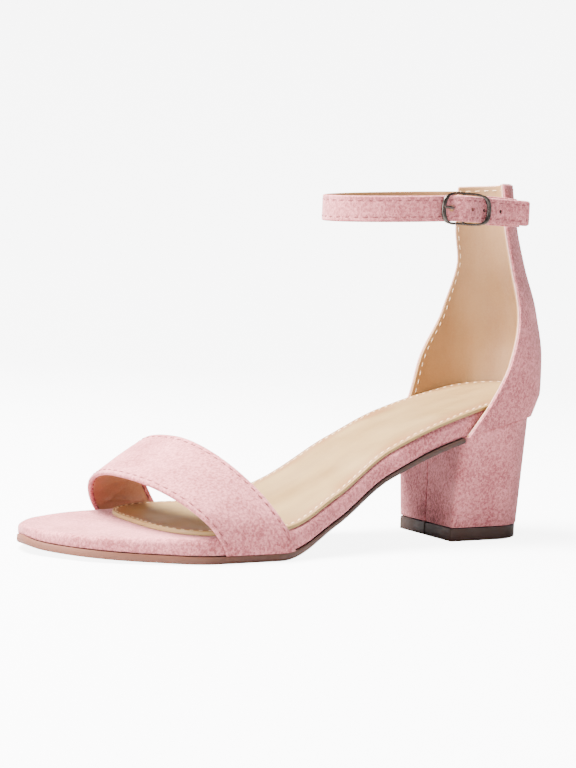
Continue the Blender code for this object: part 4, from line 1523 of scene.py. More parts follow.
    def stitches(self, run: Run) -> bpy.types.Object:
        """One row all round the strap, on both of its faces.

        Args:
            run: The strap as a band.

        Returns:
            The piece.
        """
        inset = self.stitch_inset
        level = self.ankle.width / 2 - inset
        sides, ends = np.linspace(inset, run.length - inset, 500), np.linspace(-level, level, 24)
        u = np.concatenate([sides, np.full(ends.shape, run.length - inset), sides[::-1], np.full(ends.shape, inset)])
        v = np.concatenate([np.full(sides.shape, -level), ends, np.full(sides.shape, level), ends[::-1]])
        stitch = Stitch(width=0.00060, rise=0.00026)
        body = Body()
        sew_on(body, stitch, run.place, u, v, 0.06)
        sew_on(body, stitch, run.place, u, v, 1.0, inside=True)
        return body.make("ankle_strap_stitches")


@dataclass
class Buckle:
    """Folded suede tab, metal frame with a centre bar, and the prong."""

    ankle: Ankle
    tab_thickness: float = 0.0008
    tab_half: float = 0.0046
    tab_root_half: float = 0.0062
    tab_fold: float = 0.0002
    tab_lap: float = 0.0080
    prong_dip: float = 0.0009
    rail_room: float = 0.00040
    rail_wire: float = 0.00055
    end_wire: float = 0.00110
    end_start: tuple = (0.70, 0.96)
    frame_flat: float = 0.72
    frame_power: float = 2 / 5
    bow: float = 0.0018
    tab_rim: float = 0.0004
    tab_rim_end: float = 0.0009
    prong_tip: float = 0.0005
    prong_swell: tuple = (0.22, 0.0042, 0.0030)
    prong_step: float = 0.0014
    hook_turn: tuple = (100, 360)
    fold_turn: tuple = (-80, 80)

    def tab_path(self, level: float) -> np.ndarray:
        """Inside of the tab's fold in plan at one edge: along the wing, round the centre bar and back.

        Args:
            level: The edge's height above the tab's middle.

        Returns:
            Along and outward of each station.
        """
        ankle = self.ankle
        lap = ankle.wing(Side.OUTER, level, self.tab_lap)
        lap = lap + ankle.away(lap, Side.OUTER) * (GAP + self.tab_thickness + GAP)
        bar = np.array([ankle.buckle, ankle.bar_outward()])
        run = np.linspace(lap[-1, 0] + 0.002, bar[0] - 0.0008, 14)
        knee = (ankle.buckle - ankle.weave_half, ankle.strap_line - self.tab_fold - self.tab_thickness - 1.3 * GAP)
        places = np.array([lap[-1, 0], knee[0], bar[0]])
        free = np.stack([run, flow(run, places, np.array([lap[-1, 1], knee[1], bar[1]]))], -1)
        middle = np.concatenate([lap, free])
        parted = ease(middle[:, 0], bar[0] - 0.007, bar[0] - 0.0005)
        open_up = self.tab_fold + (ankle.bar_wire + GAP - self.tab_fold) * parted
        offset = ankle.away(middle, Side.OUTER) * open_up[:, None]
        turn = np.radians(np.linspace(*self.fold_turn, 9))
        loop = bar + (ankle.bar_wire + GAP) * np.stack([np.cos(turn), np.sin(turn)], -1)
        return resample(np.concatenate([middle - offset, loop, (middle + offset)[::-1]]), 260)

    def tab_run(self) -> Run:
        """The tab as a band, narrower near the bar.

        Returns:
            The band.
        """
        ankle = self.ankle
        low, high = (self.tab_path(side * self.tab_root_half) for side in (-1, 1))
        root = 1 - ease(low[:, 0], ankle.buckle - ankle.buckle_half - 0.0035, ankle.buckle - 0.009)
        half = self.tab_half + (self.tab_root_half - self.tab_half) * root
        return Run(low, high, half, self.tab_root_half, self.tab_thickness, ankle.height)

    def tab(self) -> bpy.types.Object:
        """Suede tab folded round the bar, with a slot that lets the prong through.

        Returns:
            The piece.
        """
        run = self.tab_run()
        ankle = self.ankle
        slot = (ankle.prong_wire + ankle.prong_play) / self.tab_half * self.tab_root_half
        half = self.tab_root_half
        rim, past = self.tab_rim, self.tab_rim_end
        level = np.concatenate([np.linspace(-half, -half + rim, 4), np.linspace(-half + past, -slot, 7),
                                [0.0], np.linspace(slot, half - past, 7), np.linspace(half - rim, half, 4)])
        u, v = np.meshgrid(np.linspace(0, run.length, 200), level, indexing="ij")
        middle = run.place(u, v, np.full(u.shape, 0.5))
        reach = ankle.bar_wire + GAP + 2 * ankle.prong_wire + ankle.prong_play
        inside = (np.abs(middle[..., 0] - ankle.buckle) < reach) & (np.abs(v) <= slot * 1.001)
        keep = ~(inside[1:, 1:] & inside[:-1, :-1] & inside[1:, :-1] & inside[:-1, 1:])
        close = np.minimum(half - np.abs(v), np.minimum(u, run.length - u))
        sunk = 0.5 * (1 - np.sqrt(1 - np.clip(1 - close / rim, 0, 1) ** 2))
        body = Body()
        add_sheet(body, run.place, u, v, sunk, 1 - sunk, keep)
        return body.make("buckle_tab_suede", 55.0)

    def ring(self) -> bpy.types.Object:
        """Frame: a wire along a superellipse that bows outwards at its two ends, and the bar across its middle.

        Returns:
            The piece.
        """
        ankle = self.ankle
        half_height = ankle.width / 2 + self.rail_room + self.rail_wire
        turn = np.linspace(0, 2 * math.pi, 144, endpoint=False)
        level = half_height * np.sign(np.sin(turn)) * np.abs(np.sin(turn)) ** self.frame_power
        square = np.sign(np.cos(turn)) * np.abs(np.cos(turn)) ** self.frame_power
        bow = self.bow * np.sign(square) * (1 - (level / half_height) ** 2)
        line = np.stack([ankle.buckle + (ankle.buckle_half - self.bow) * square + bow, level], -1)
        line = resample(np.concatenate([line, line[:1]]), 181)[:-1]
        reach = np.clip((line[:, 0] - ankle.buckle) / ankle.buckle_half, -1, 1)
        outward = ankle.buckle_line - ankle.buckle_dip * np.cos(reach * math.pi / 2) ** 2
        path = np.stack([line[:, 0], outward, ankle.height(line[:, 0], outward) + line[:, 1]], -1)
        thick = self.rail_wire + (self.end_wire - self.rail_wire) * ease(np.abs(reach), *self.end_start)
        body = Body()
        add_tube(body, path, thick, (0.0, 1.0, 0.0), closed=True, sides=20, flat=self.frame_flat)
        centre = float(ankle.height(np.array(ankle.buckle), np.array(ankle.bar_outward())))
        bar = np.array([(ankle.buckle, ankle.bar_outward(), centre + step)
                        for step in np.linspace(-half_height, half_height, 12)])
        add_tube(body, bar, np.array(ankle.bar_wire), (1.0, 0.0, 0.0), sides=16)
        return body.make("buckle_ring")

    def prong(self) -> bpy.types.Object:
        """Prong: hooked round the bar, up through the strap's hole and over the frame, with a rounded tip.

        The route's places along are counted in steps from the hole, and in wire widths from the frame's front.

        Returns:
            The piece.
        """
        ankle = self.ankle
        ring = ankle.bar_wire + GAP + ankle.prong_wire
        turn = np.radians(np.linspace(*self.hook_turn, 14))
        hook = np.stack([ankle.buckle + ring * np.cos(turn), ankle.bar_outward() + ring * np.sin(turn)], -1)
        hole = ankle.buckle + ankle.hole_ahead
        under = float(ankle.strap_outward(np.array(hole)))
        over = under + ankle.thickness
        front = ankle.buckle + ankle.buckle_half
        rest = ankle.buckle_line + ankle.buckle_wire + GAP + ankle.prong_wire
        step, wire = self.prong_step, ankle.prong_wire
        route = np.array([
            (hole - 3.0 * step, under), (hole - 1.4 * step, under - self.prong_dip),
            (hole - 0.4 * step, under - self.prong_dip / 2), (hole, under + ankle.thickness / 2),
            (hole + 0.4 * step, over + wire), (hole + 1.3 * step, rest - wire),
            (front - 2.2 * ankle.buckle_wire, rest), (front + 1.2 * ankle.buckle_wire, rest)])
        plan = resample(np.concatenate([hook, route]), 90)
        height = float(ankle.height(np.array(ankle.buckle), np.array(ankle.bar_outward())))
        left = run_length(plan)[-1] - run_length(plan)
        tip = np.sqrt(1 - np.clip(1 - left / self.prong_tip, 0, 1) ** 2)
        swell, swell_at, swell_width = self.prong_swell
        radius = wire * (1.0 + swell * hump(left, swell_at, swell_width)) * np.maximum(tip, 0.05)
        body = Body()
        add_tube(body, np.column_stack([plan, np.full(len(plan), height)]), radius, (0.0, 0.0, 1.0), sides=14)
        return body.make("buckle_prong_wire")


def paint(red: int, green: int, blue: int) -> tuple[float, float, float, float]:
    """A colour as the eye reads it, as the light values that a shader takes.

    Light is share / 12.92 in the darkest part, and ((share + 0.055) / 1.055) to the power 2.4 above it.

    Args:
        red: Red as the eye reads it, from 0 to 255.
        green: Green in the same way.
        blue: Blue in the same way.

    Returns:
        Red, green and blue light from 0 to 1, and full cover.
    """
    share = np.array([red, green, blue]) / 255
    light = np.where(share <= 0.04045, share / 12.92, ((share + 0.055) / 1.055) ** 2.4)
    return (*(float(value) for value in light), 1.0)


class Tree:
    """A node tree that is filled node by node."""

    def __init__(self, tree: bpy.types.NodeTree) -> None:
        """Keeps the tree."""
        self.tree = tree

    def feed(self, socket: bpy.types.NodeSocket, value: object) -> None:
        """Links another socket to a socket, or sets its value.

        Args:
            socket: The socket that is fed.
            value: Another socket, or a plain value.
        """
        if isinstance(value, bpy.types.NodeSocket):
            self.tree.links.new(value, socket)
        else:
            socket.default_value = value

    def add(self, kind: str, inputs: dict | None = None, **settings: object) -> bpy.types.Node:
        """Adds a node.

        Args:
            kind: Blender's name of the node type.
            inputs: Sockets or values by input name or number.
            settings: The node's own settings.

        Returns:
            The node.
        """
        node = self.tree.nodes.new(kind)
        for name, value in settings.items():
            setattr(node, name, value)
        for name, value in (inputs or {}).items():
            self.feed(node.inputs[name], value)
        return node

    def mix(self, share: object, first: object, second: object) -> bpy.types.NodeSocket:
        """A colour between two colours."""
        return self.add("ShaderNodeMix", {0: share, 6: first, 7: second}, data_type="RGBA").outputs[2]

    def sum(self, *terms: tuple[object, float]) -> bpy.types.NodeSocket:
        """A sum of values, each times its own factor.

        Args:
            *terms: Each value and its factor.

        Returns:
            The sum.
        """
        total = None
        for value, factor in terms:
            inputs = {0: value, 1: factor, 2: 0.0 if total is None else total}
            total = self.add("ShaderNodeMath", inputs, operation="MULTIPLY_ADD").outputs[0]
        return total

    def spread(self, value: object, low: float, high: float, to_low: float = 0.0,
               to_high: float = 1.0) -> bpy.types.NodeSocket:
        """A value stretched from one range to another, and held inside it."""
        inputs = {"Value": value, "From Min": low, "From Max": high, "To Min": to_low, "To Max": to_high}
        return self.add("ShaderNodeMapRange", inputs).outputs[0]

    def noise(self, vector: object, scale: object, detail: float = 3.0,
              roughness: float = 0.55) -> bpy.types.NodeSocket:
        """Smooth noise from 0 to 1."""
        inputs = {"Vector": vector, "Scale": scale, "Detail": detail, "Roughness": roughness}
        return self.add("ShaderNodeTexNoise", inputs).outputs[0]


def make_group(name: str, inputs: Sequence[tuple[str, str, float]], outputs: Sequence[str],
               fill: Callable[[Tree, bpy.types.Node], Sequence[bpy.types.NodeSocket]]) -> bpy.types.NodeTree:
    """Makes a shader node group.

    Args:
        name: The group's name.
        inputs: Name, kind and first value of each input.
        outputs: Names of the outputs, all plain numbers.
        fill: Adds the nodes and returns a socket for each output.

    Returns:
        The group.
    """
    group = bpy.data.node_groups.new(name, "ShaderNodeTree")
    for label, kind, first in inputs:
        socket = group.interface.new_socket(name=label, in_out="INPUT", socket_type=kind)
        if kind == "NodeSocketFloat":
            socket.default_value = first
    for label in outputs:
        group.interface.new_socket(name=label, in_out="OUTPUT", socket_type="NodeSocketFloat")
    tree = Tree(group)
    start = group.nodes.new("NodeGroupInput")
    end = group.nodes.new("NodeGroupOutput")
    for label, socket in zip(outputs, fill(tree, start)):
        tree.feed(end.inputs[label], socket)
    return group


def fill_nap(tree: Tree, start: bpy.types.Node) -> Sequence[bpy.types.NodeSocket]:
    """Nap of suede: broad brushed patches, small blotches and single fibres, all noises of falling size.

    Shade is 0.36 x patches + 0.38 x blotches + 0.26 x fibres, and height is 0.6 x fibres + 0.4 x blotches.

    Args:
        tree: The group's tree.
        start: The group's input node.

    Returns:
        The shade and the height.
    """
    vector = start.outputs["Vector"]
    broad = tree.noise(vector, start.outputs["Patches"], 4.0, 0.6)
    bent = tree.add("ShaderNodeMapping", {"Vector": vector, "Rotation": NAP_TURN, "Scale": NAP_STRETCH})
    small = tree.noise(bent.outputs[0], start.outputs["Blotches"], 3.0, 0.6)
    fibre = tree.noise(bent.outputs[0], start.outputs["Fibres"], 2.0, 0.7)
    layers = (tree.spread(layer, *span) for layer, span in zip((broad, small, fibre), NAP_SPANS))
    shade = tree.sum(*zip(layers, NAP_WEIGHTS))
    return shade, tree.sum((fibre, 0.6), (small, 0.4))


def fill_grain(tree: Tree, start: bpy.types.Node) -> Sequence[bpy.types.NodeSocket]:
    """Grain of leather and rubber: small cells with soft valleys, over a finer noise.

    Height is 0.4 x fine noise - 0.6 x cells.

    Args:
        tree: The group's tree.
        start: The group's input node.

    Returns:
        The shade and the height.
    """
    vector = start.outputs["Vector"]
    cell = tree.add("ShaderNodeTexVoronoi", {"Vector": vector, "Scale": start.outputs["Cells"]},
                    feature="SMOOTH_F1").outputs["Distance"]
    fine = tree.noise(vector, start.outputs["Fine"], 3.0, 0.6)
    height = tree.sum((tree.spread(cell, 0.1, 0.7), -0.6), (fine, 0.4))
    return fine, height


class Shared(Enum):
    """Effects that more than one finish uses."""

    NAP = "suede_nap"
    GRAIN = "leather_grain"

    def group(self) -> bpy.types.NodeTree:
        """The effect's node group, made when it is first asked for.

        Returns:
            The node group.
        """
        found = bpy.data.node_groups.get(self.value)
        if found is None and self is Shared.NAP:
            sizes = (("Vector", "NodeSocketVector", 0.0), ("Patches", "NodeSocketFloat", 60.0),
                     ("Blotches", "NodeSocketFloat", 420.0), ("Fibres", "NodeSocketFloat", 1800.0))
            found = make_group(self.value, sizes, ("Shade", "Height"), fill_nap)
        elif found is None:
            sizes = (("Vector", "NodeSocketVector", 0.0), ("Cells", "NodeSocketFloat", 1200.0),
                     ("Fine", "NodeSocketFloat", 900.0))
            found = make_group(self.value, sizes, ("Shade", "Height"), fill_grain)
        return found


class Finish:
    """A material in the making: its tree, its Principled shader and its object coordinates."""

    def __init__(self, name: str) -> None:
        """Starts an empty material.

        Args:
            name: The material's name.
        """
        self.material = bpy.data.materials.new(name)
        self.material.use_nodes = True
        self.tree = Tree(self.material.node_tree)
        self.shader = self.material.node_tree.nodes["Principled BSDF"]
        self.coordinates = self.tree.add("ShaderNodeTexCoord")
        self.object = self.coordinates.outputs["Object"]
        self.surface = self.coordinates.outputs["UV"]

    def shared(self, effect: Shared, **sizes: float) -> bpy.types.Node:
        """Places one of the shared effects, on object coordinates.

        Args:
            effect: Which effect.
            **sizes: How many cells of each kind fit into a metre.

        Returns:
            The placed group.
        """
        inputs = {"Vector": self.object, **sizes}
        node = self.tree.tree.nodes.new("ShaderNodeGroup")
        node.node_tree = effect.group()
        for name, value in inputs.items():
            self.tree.feed(node.inputs[name], value)
        return node

    def set(self, **values: object) -> None:
        """Sets or feeds the shader's sockets, with underscores for spaces."""
        for name, value in values.items():
            self.tree.feed(self.shader.inputs[name.replace("_", " ")], value)

    def bump(self, height: bpy.types.NodeSocket, depth: float, strength: float = 1.0) -> None:
        """Small relief of the surface, with its real depth in metres."""
        node = self.tree.add("ShaderNodeBump", {"Height": height, "Distance": depth, "Strength": strength})
        self.tree.feed(self.shader.inputs["Normal"], node.outputs[0])


@dataclass(frozen=True)
class Suede:
    """Suede: matt, with brushed patches, single fibres and a pale sheen at a low angle."""

    name: str
    light: tuple[int, int, int] = (216, 137, 140)
    dark: tuple[int, int, int] = (122, 60, 62)
    patches: float = 55.0
    blotches: float = 760.0
    fibres: float = 1600.0
    depth: float = 0.0005
    relief: float = 0.8
    rough: float = 0.95
    gloss: float = 0.12
    sheen: float = 0.22
    sheen_rough: float = 0.45
    sheen_tint: tuple[int, int, int] = (255, 232, 232)

    def make(self) -> bpy.types.Material:
        """Makes the material.

        Returns:
            The finished material.
        """
        finish = Finish(self.name)
        nap = finish.shared(Shared.NAP, Patches=self.patches, Blotches=self.blotches, Fibres=self.fibres)
        colour = finish.tree.mix(nap.outputs["Shade"], paint(*self.dark), paint(*self.light))
        finish.set(Base_Color=colour, Roughness=self.rough, Specular_IOR_Level=self.gloss, Sheen_Weight=self.sheen,
                   Sheen_Roughness=self.sheen_rough, Sheen_Tint=paint(*self.sheen_tint))
        finish.bump(nap.outputs["Height"], self.depth, self.relief)
        return finish.material


@dataclass(frozen=True)
class Leather:
    """Smooth leather or leather-look sheet: streaks along the foot, on the sock partly painted highlight, fine pores
    and a soft gloss, and where a rim colour is given, painted shade towards the edge.
    """

    name: str
    light: tuple[int, int, int]
    dark: tuple[int, int, int]
    cells: float = 1500.0
    streak: tuple[float, float, float] = (12.0, 90.0, 40.0)
    rough: tuple[float, float] = (0.40, 0.55)
    depth: float = 0.00005
    relief: float = 0.7
    gloss: float = 0.38
    fine_share: float = 0.8
    patches: float = 40.0
    streak_span: tuple[float, float] = (0.34, 0.68)
    patch_span: tuple[float, float] = (0.3, 0.7)
    rough_span: tuple[float, float] = (0.35, 0.65)
    weights: tuple[float, float, float] = (0.50, 0.28, 0.22)
    # Colour of painted shade along the sheet's edge, or None for none
    rim: tuple[int, int, int] | None = None
    edge_shade_span: tuple[float, float] = (0.0120, 0.0190)
    edge_shade_wander: tuple[float, float] = (0.012, 0.010)
    edge_shade_share: float = 0.75
    cut_span: tuple[float, float] = (0.0004, 0.0010)

    def make(self) -> bpy.types.Material:
        """Makes the material.

        Returns:
            The finished material.
        """
        finish = Finish(self.name)
        tree = finish.tree
        grain = finish.shared(Shared.GRAIN, Cells=self.cells, Fine=self.cells * self.fine_share)
        # Streaks: on the sock the lighter streaks along the foot are partly painted highlight of its gloss and partly
        # the leather's own tone; on the linings they are only uneven tone
        stretched = tree.add("ShaderNodeMapping", {"Vector": finish.object, "Scale": self.streak})
        streak = tree.noise(stretched.outputs[0], 1.0, 3.0, 0.55)
        patch = tree.noise(finish.object, self.patches, 3.0, 0.5)
        layers = (tree.spread(streak, *self.streak_span), tree.spread(patch, *self.patch_span),
                  tree.spread(grain.outputs["Shade"], *self.patch_span))
        shade = tree.sum(*zip(layers, self.weights))
        colour = tree.mix(shade, paint(*self.dark), paint(*self.light))
        # Painted shade: the colour turns browner towards the edge, read from the surface place that holds the distance
        # from it, and wanders with the noises; the thin cut edge itself stays light
        if self.rim:
            split = tree.add("ShaderNodeSeparateXYZ", {0: finish.surface})
            close = tree.sum((split.outputs["Y"], 1.0), *zip((patch, streak), self.edge_shade_wander))
            painted_edge_shade = tree.spread(close, *self.edge_shade_span, self.edge_shade_share, 0.0)
            cut = tree.spread(split.outputs["Y"], *self.cut_span, 1.0, 0.0)
            colour = tree.mix(painted_edge_shade, colour, paint(*self.rim))
            colour = tree.mix(cut, colour, paint(*self.light))
        finish.set(Base_Color=colour, Roughness=tree.spread(patch, *self.rough_span, *self.rough),
                   Specular_IOR_Level=self.gloss)
        finish.bump(grain.outputs["Height"], self.depth, self.relief)
        return finish.material


@dataclass(frozen=True)
class Rubber:
    """Moulded sole rubber, lighter towards the toe and darker towards the arch."""

    name: str
    toe: tuple[int, int, int]
    arch: tuple[int, int, int]
    start: float = -0.205
    end: float = -0.080
    cells: float = 900.0
    fine: float = 1400.0
    patches: float = 130.0
    worn_gain: float = 1.18
    worn_lift: int = 6
    worn_span: tuple[float, float] = (0.52, 0.80)
    worn_share: float = 0.35
    rough: tuple[float, float] = (0.46, 0.68)
    gloss: float = 0.4
    depth: float = 0.00006
    relief: float = 0.8

    def make(self) -> bpy.types.Material:
        """Makes the material.

        Returns:
            The finished material.
        """
        finish = Finish(self.name)
        tree = finish.tree
        grain = finish.shared(Shared.GRAIN, Cells=self.cells, Fine=self.fine)
        split = tree.add("ShaderNodeSeparateXYZ", {0: finish.object})
        place = tree.spread(split.outputs["X"], self.start, self.end)
        patch = tree.noise(finish.object, self.patches, 4.0, 0.6)
        colour = tree.mix(place, paint(*self.toe), paint(*self.arch))
        worn = tuple(min(255, int(value * self.worn_gain) + self.worn_lift) for value in self.toe)
        colour = tree.mix(tree.spread(patch, *self.worn_span, 0.0, self.worn_share), colour, paint(*worn))
        finish.set(Base_Color=colour, Roughness=tree.spread(patch, 0.3, 0.7, *self.rough),
                   Specular_IOR_Level=self.gloss)
        finish.bump(grain.outputs["Height"], self.depth, self.relief)
        return finish.material


@dataclass(frozen=True)
class Metal:
    """Dark nickel, with a faint cloudiness and fine polishing lines."""

    name: str
    colour: tuple[int, int, int] = (92, 85, 80)
    cloudy: tuple[int, int, int] = (58, 52, 49)
    clouds: float = 600.0
    lines: tuple[float, float, float] = (400.0, 400.0, 6000.0)
    rough: tuple[float, float] = (0.20, 0.36)
    depth: float = 0.000008
    relief: float = 0.6

    def make(self) -> bpy.types.Material:
        """Makes the material.

        Returns:
            The finished material.
        """
        finish = Finish(self.name)
        tree = finish.tree
        cloud = tree.noise(finish.object, self.clouds, 3.0, 0.6)
        lines = tree.add("ShaderNodeMapping", {"Vector": finish.object, "Scale": self.lines})
        polish = tree.noise(lines.outputs[0], 1.0, 2.0, 0.6)
        finish.set(Base_Color=tree.mix(tree.spread(cloud, 0.3, 0.7), paint(*self.cloudy), paint(*self.colour)),
                   Metallic=1.0, Roughness=tree.spread(polish, 0.3, 0.7, *self.rough))
        finish.bump(polish, self.depth, self.relief)
        return finish.material


@dataclass(frozen=True)
class Thread:
    """Twisted sewing thread: the twist is a sine of the places along and round each stitch, and its grooves are painted
    darker as painted shade between the plies.
    """

    name: str
    light: tuple[int, int, int]
    dark: tuple[int, int, int]
    turns: float = 5.0
    fuzz: float = 2500.0
    weights: tuple[float, float] = (0.65, 0.35)
    rough: tuple[float, float] = (0.55, 0.75)
    gloss: float = 0.3
    depth: float = 0.00003
    relief: float = 0.8

    def make(self) -> bpy.types.Material:
        """Makes the material.

        Returns:
            The finished material.
        """
        finish = Finish(self.name)
        tree = finish.tree
        along = tree.add("ShaderNodeVectorMath", {0: finish.surface, 1: (self.turns, 1.0, 0.0)},
                         operation="DOT_PRODUCT").outputs["Value"]
        angle = tree.add("ShaderNodeMath", {0: along, 1: 2 * math.pi}, operation="MULTIPLY").outputs[0]
        twist = tree.add("ShaderNodeMath", {0: angle}, operation="SINE").outputs[0]
        fuzz = tree.noise(finish.object, self.fuzz, 2.0, 0.6)
        # Painted shade: the colour follows the twist's relief, darker in the grooves between the plies; the fuzz is the
        # thread's own uneven tone
        shade = tree.sum(*zip((tree.spread(twist, -1.0, 1.0), fuzz), self.weights))
        finish.set(Base_Color=tree.mix(shade, paint(*self.dark), paint(*self.light)),
                   Roughness=tree.spread(fuzz, 0.3, 0.7, *self.rough), Specular_IOR_Level=self.gloss)
        finish.bump(twist, self.depth, self.relief)
        return finish.material


@dataclass(frozen=True)
class Studio:
    """Pale floor that turns up into a wall, soft light, and the camera of the photograph."""

    camera_at: tuple[float, float, float] = (-0.50500, -0.61794, 0.11070)
    aim: tuple[float, float, float] = (-0.09920, 0.0, 0.06681)
    lens: float = 82.8
    sensor: float = 36.0
    clip: tuple[float, float] = (0.01, 30.0)
    roll: float = 0.047
    flat: float = 1.3
    reach: float = 4.2
    steep: float = 0.55
    flat_rings: int = 12
    rise_rings: int = 24
    spokes: int = 96
    floor: tuple[int, int, int] = (176, 176, 177)
    floor_shade: int = 3
    floor_clouds: float = 3.0
    floor_rough: float = 0.9
    floor_gloss: float = 0.1
    glow: float = 6.6
    sky: float = 0.36
    lamps: tuple = (
        ((-0.58, 0.28, 1.32), 0.80, 240.0, (1.0, 0.99, 0.98)),
        ((-1.35, -0.15, 0.42), 0.80, 36.0, (1.0, 0.99, 0.98)),
        ((0.50, -0.95, 0.60), 0.70, 1.5, (1.0, 0.99, 0.98)),
    )
    target: tuple[float, float, float] = (-0.08, 0.0, 0.05)

    def build_floor(self) -> None:
        """Floor as a bowl: flat, and outside its flat part the height grows with the square of the distance."""
        radius = np.concatenate([[0.0], np.geomspace(0.05, self.flat, self.flat_rings),
                                 np.linspace(self.flat, self.reach, self.rise_rings)[1:]])
        turn = np.linspace(0, 2 * math.pi, self.spokes, endpoint=False)
        r, t = np.meshgrid(radius, turn, indexing="ij")
        rise = self.steep * np.clip(r - self.flat, 0, None) ** 2
        points = np.stack([r * np.cos(t), r * np.sin(t), rise], -1).reshape(-1, 3)
        mesh = bpy.data.meshes.new("floor")
        mesh.from_pydata(points, [], grid_faces(len(radius), len(turn), wrap_columns=True).tolist())
        shape = bmesh.new()
        shape.from_mesh(mesh)
        bmesh.ops.remove_doubles(shape, verts=shape.verts, dist=1e-6)
        bmesh.ops.recalc_face_normals(shape, faces=shape.faces)
        shape.faces.ensure_lookup_table()
        if min(shape.faces, key=lambda face: face.calc_center_median().length).normal.z < 0:
            bmesh.ops.reverse_faces(shape, faces=shape.faces)
        shape.to_mesh(mesh)
        shape.free()
        mesh.shade_smooth()
        floor = bpy.data.objects.new("floor", mesh)
        link(floor)
        finish = Finish("studio_floor")
        cloud = finish.tree.noise(finish.object, self.floor_clouds, 2.0)
        shade = tuple(value - self.floor_shade for value in self.floor)
        seen = finish.tree.add("ShaderNodeLightPath")
        finish.set(Base_Color=finish.tree.mix(cloud, paint(*shade), paint(*self.floor)), Roughness=self.floor_rough,
                   Specular_IOR_Level=self.floor_gloss)
        lit = finish.tree.mix(seen.outputs["Is Camera Ray"], paint(0, 0, 0), paint(255, 255, 255))
        finish.set(Emission_Color=lit, Emission_Strength=self.glow)
        mesh.materials.append(finish.material)

    def build_light(self) -> None:
        """Even white sky, and soft square lamps that look at the sandal."""
        world = bpy.data.worlds.new("studio")
        world.use_nodes = True
        back = world.node_tree.nodes["Background"]
        back.inputs["Color"].default_value = (1.0, 1.0, 1.0, 1.0)
        back.inputs["Strength"].default_value = self.sky
        bpy.context.scene.world = world
        for number, (place, size, power, colour) in enumerate(self.lamps):
            data = bpy.data.lights.new(f"lamp_{number}", "AREA")
            data.shape, data.size, data.energy, data.color = "SQUARE", size, power, colour
            lamp = bpy.data.objects.new(f"lamp_{number}", data)
            lamp.location = place
            lamp.rotation_euler = (Vector(self.target) - Vector(place)).to_track_quat("-Z", "Y").to_euler()
            link(lamp)

    def build_camera(self) -> None:
        """Camera at the photograph's place, turned a little about its own axis."""
        data = bpy.data.cameras.new("photo_camera")
        data.lens, data.sensor_width, data.sensor_fit = self.lens, self.sensor, "AUTO"
        data.clip_start, data.clip_end = self.clip
        camera = bpy.data.objects.new("photo_camera", data)
        place = Vector(self.camera_at)
        ahead = (Vector(self.aim) - place).normalized()
        right = ahead.cross(Vector((0, 0, 1))).normalized()
        up = right.cross(ahead)
        across = right * math.cos(self.roll) + up * math.sin(self.roll)
        above = up * math.cos(self.roll) - right * math.sin(self.roll)
        turn = Matrix((across, above, -ahead)).transposed().to_4x4()
        camera.matrix_world = Matrix.Translation(place) @ turn
        link(camera)
        bpy.context.scene.camera = camera


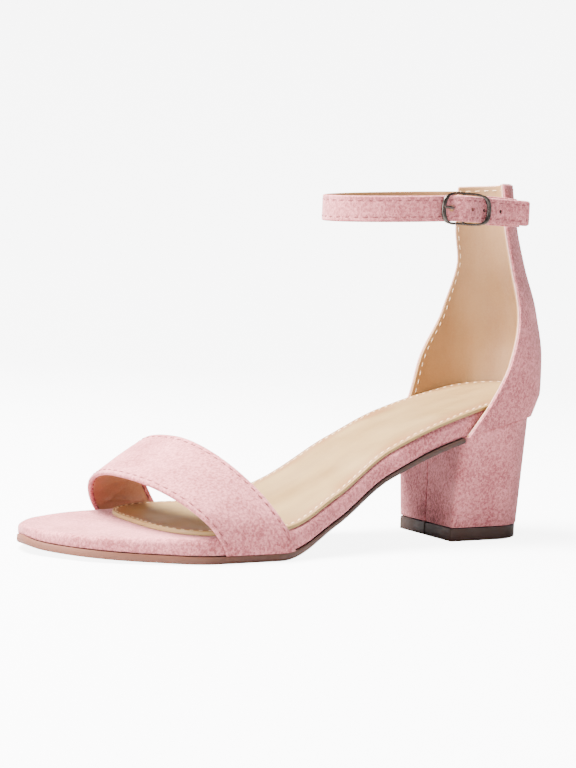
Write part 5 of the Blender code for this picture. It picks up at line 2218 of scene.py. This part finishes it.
def main() -> None:
    """Builds and dresses the sandal from the floor up."""
    logging.basicConfig(level=logging.INFO, format="%(message)s")
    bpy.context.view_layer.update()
    studio = Studio()
    studio.build_camera()
    studio.build_light()
    studio.build_floor()

    upper_suede = Suede("pink_suede").make()
    heel_suede = Suede("pink_suede_block", patches=40.0).make()
    band_suede = Suede("pink_suede_band", patches=70.0).make()
    # The sock's rim colour is painted shade along its edge, and its lighter streaks are partly painted highlight
    sock_skin = Leather("sock_leather", (146, 117, 72), (121, 92, 54), rim=(126, 82, 48)).make()
    beige = Leather("lining_beige", (158, 121, 80), (132, 94, 58), streak=(60.0, 60.0, 14.0)).make()
    brown = Leather("lining_brown", (190, 140, 112), (146, 98, 74), streak=(30.0, 60.0, 30.0)).make()
    raw_edge = Suede("raw_edge", (214, 170, 160), (190, 140, 130), sheen=0.2).make()
    outsole_rubber = Rubber("outsole_rubber", (108, 64, 46), (52, 33, 25)).make()
    tip_rubber = Rubber("tip_rubber", (52, 27, 15), (44, 23, 13), -0.03, 0.03).make()
    # The pink thread's darkness is partly its own darker pink and partly painted shade of the sunk stitch holes and
    # grooves
    pink_thread = Thread("thread_pink", (150, 84, 86), (92, 42, 44)).make()
    # Painted shade: dark colour of the discs in the strap's free holes
    hole_shade_material = Leather("painted_shade_holes", (64, 38, 34), (40, 24, 22)).make()
    tan_thread = Thread("thread_tan", (232, 206, 172), (176, 138, 98)).make()
    soft_thread = Thread("thread_soft_pink", (186, 118, 120), (132, 74, 76)).make()
    nickel = Metal("dark_nickel").make()

    sole, heel, band = Sole(), Heel(), ToeBand()
    counter = Counter()
    ankle = Ankle(counter)
    strap, buckle = AnkleStrap(ankle), Buckle(ankle)
    run = strap.run()

    Piece(sole.outsole(), Slot.OUTSOLE, ("outsole",)).settle(outsole_rubber)
    Piece(sole.board(), Slot.SUEDE, ("midsole",)).settle(upper_suede)
    Piece(sole.sock(), Slot.INSOLE, ("insole",)).settle(sock_skin)
    Piece(sole.sock_stitches(), Slot.THREAD).settle(tan_thread)
    Piece(heel.block(), Slot.SUEDE, ("heel",)).settle(heel_suede)
    Piece(heel.tip(), Slot.TIP, ("heel_tip",)).settle(tip_rubber)
    Piece(band.suede(), Slot.SUEDE, ("vamp_strap",)).settle(band_suede)
    Piece(band.lining(), Slot.BROWN).settle(brown)
    Piece(band.stitches(), Slot.THREAD).settle(pink_thread)
    Piece(counter.suede(), Slot.SUEDE, ("counter",)).settle(upper_suede)
    Piece(counter.lining(), Slot.BEIGE).settle(beige)
    Piece(counter.edge_line(), Slot.SUEDE).settle(raw_edge)
    Piece(counter.stitches(False), Slot.THREAD).settle(soft_thread)
    Piece(counter.stitches(True), Slot.THREAD).settle(tan_thread)
    Piece(strap.suede(run), Slot.SUEDE, ("ankle_strap",)).settle(upper_suede)
    Piece(strap.lining(run), Slot.BEIGE).settle(beige)
    Piece(strap.stitches(run), Slot.THREAD).settle(pink_thread)
    # Painted shade: dark discs inside the strap's free holes
    Piece(strap.hole_shade_discs(run), Slot.BROWN).settle(hole_shade_material)
    Piece(buckle.tab(), Slot.SUEDE, ("buckle_tab",)).settle(upper_suede)
    Piece(buckle.ring(), Slot.METAL, ("buckle_frame",)).settle(nickel)
    Piece(buckle.prong(), Slot.METAL, ("buckle_prong",)).settle(nickel)


if __name__ == "__main__":
    main()
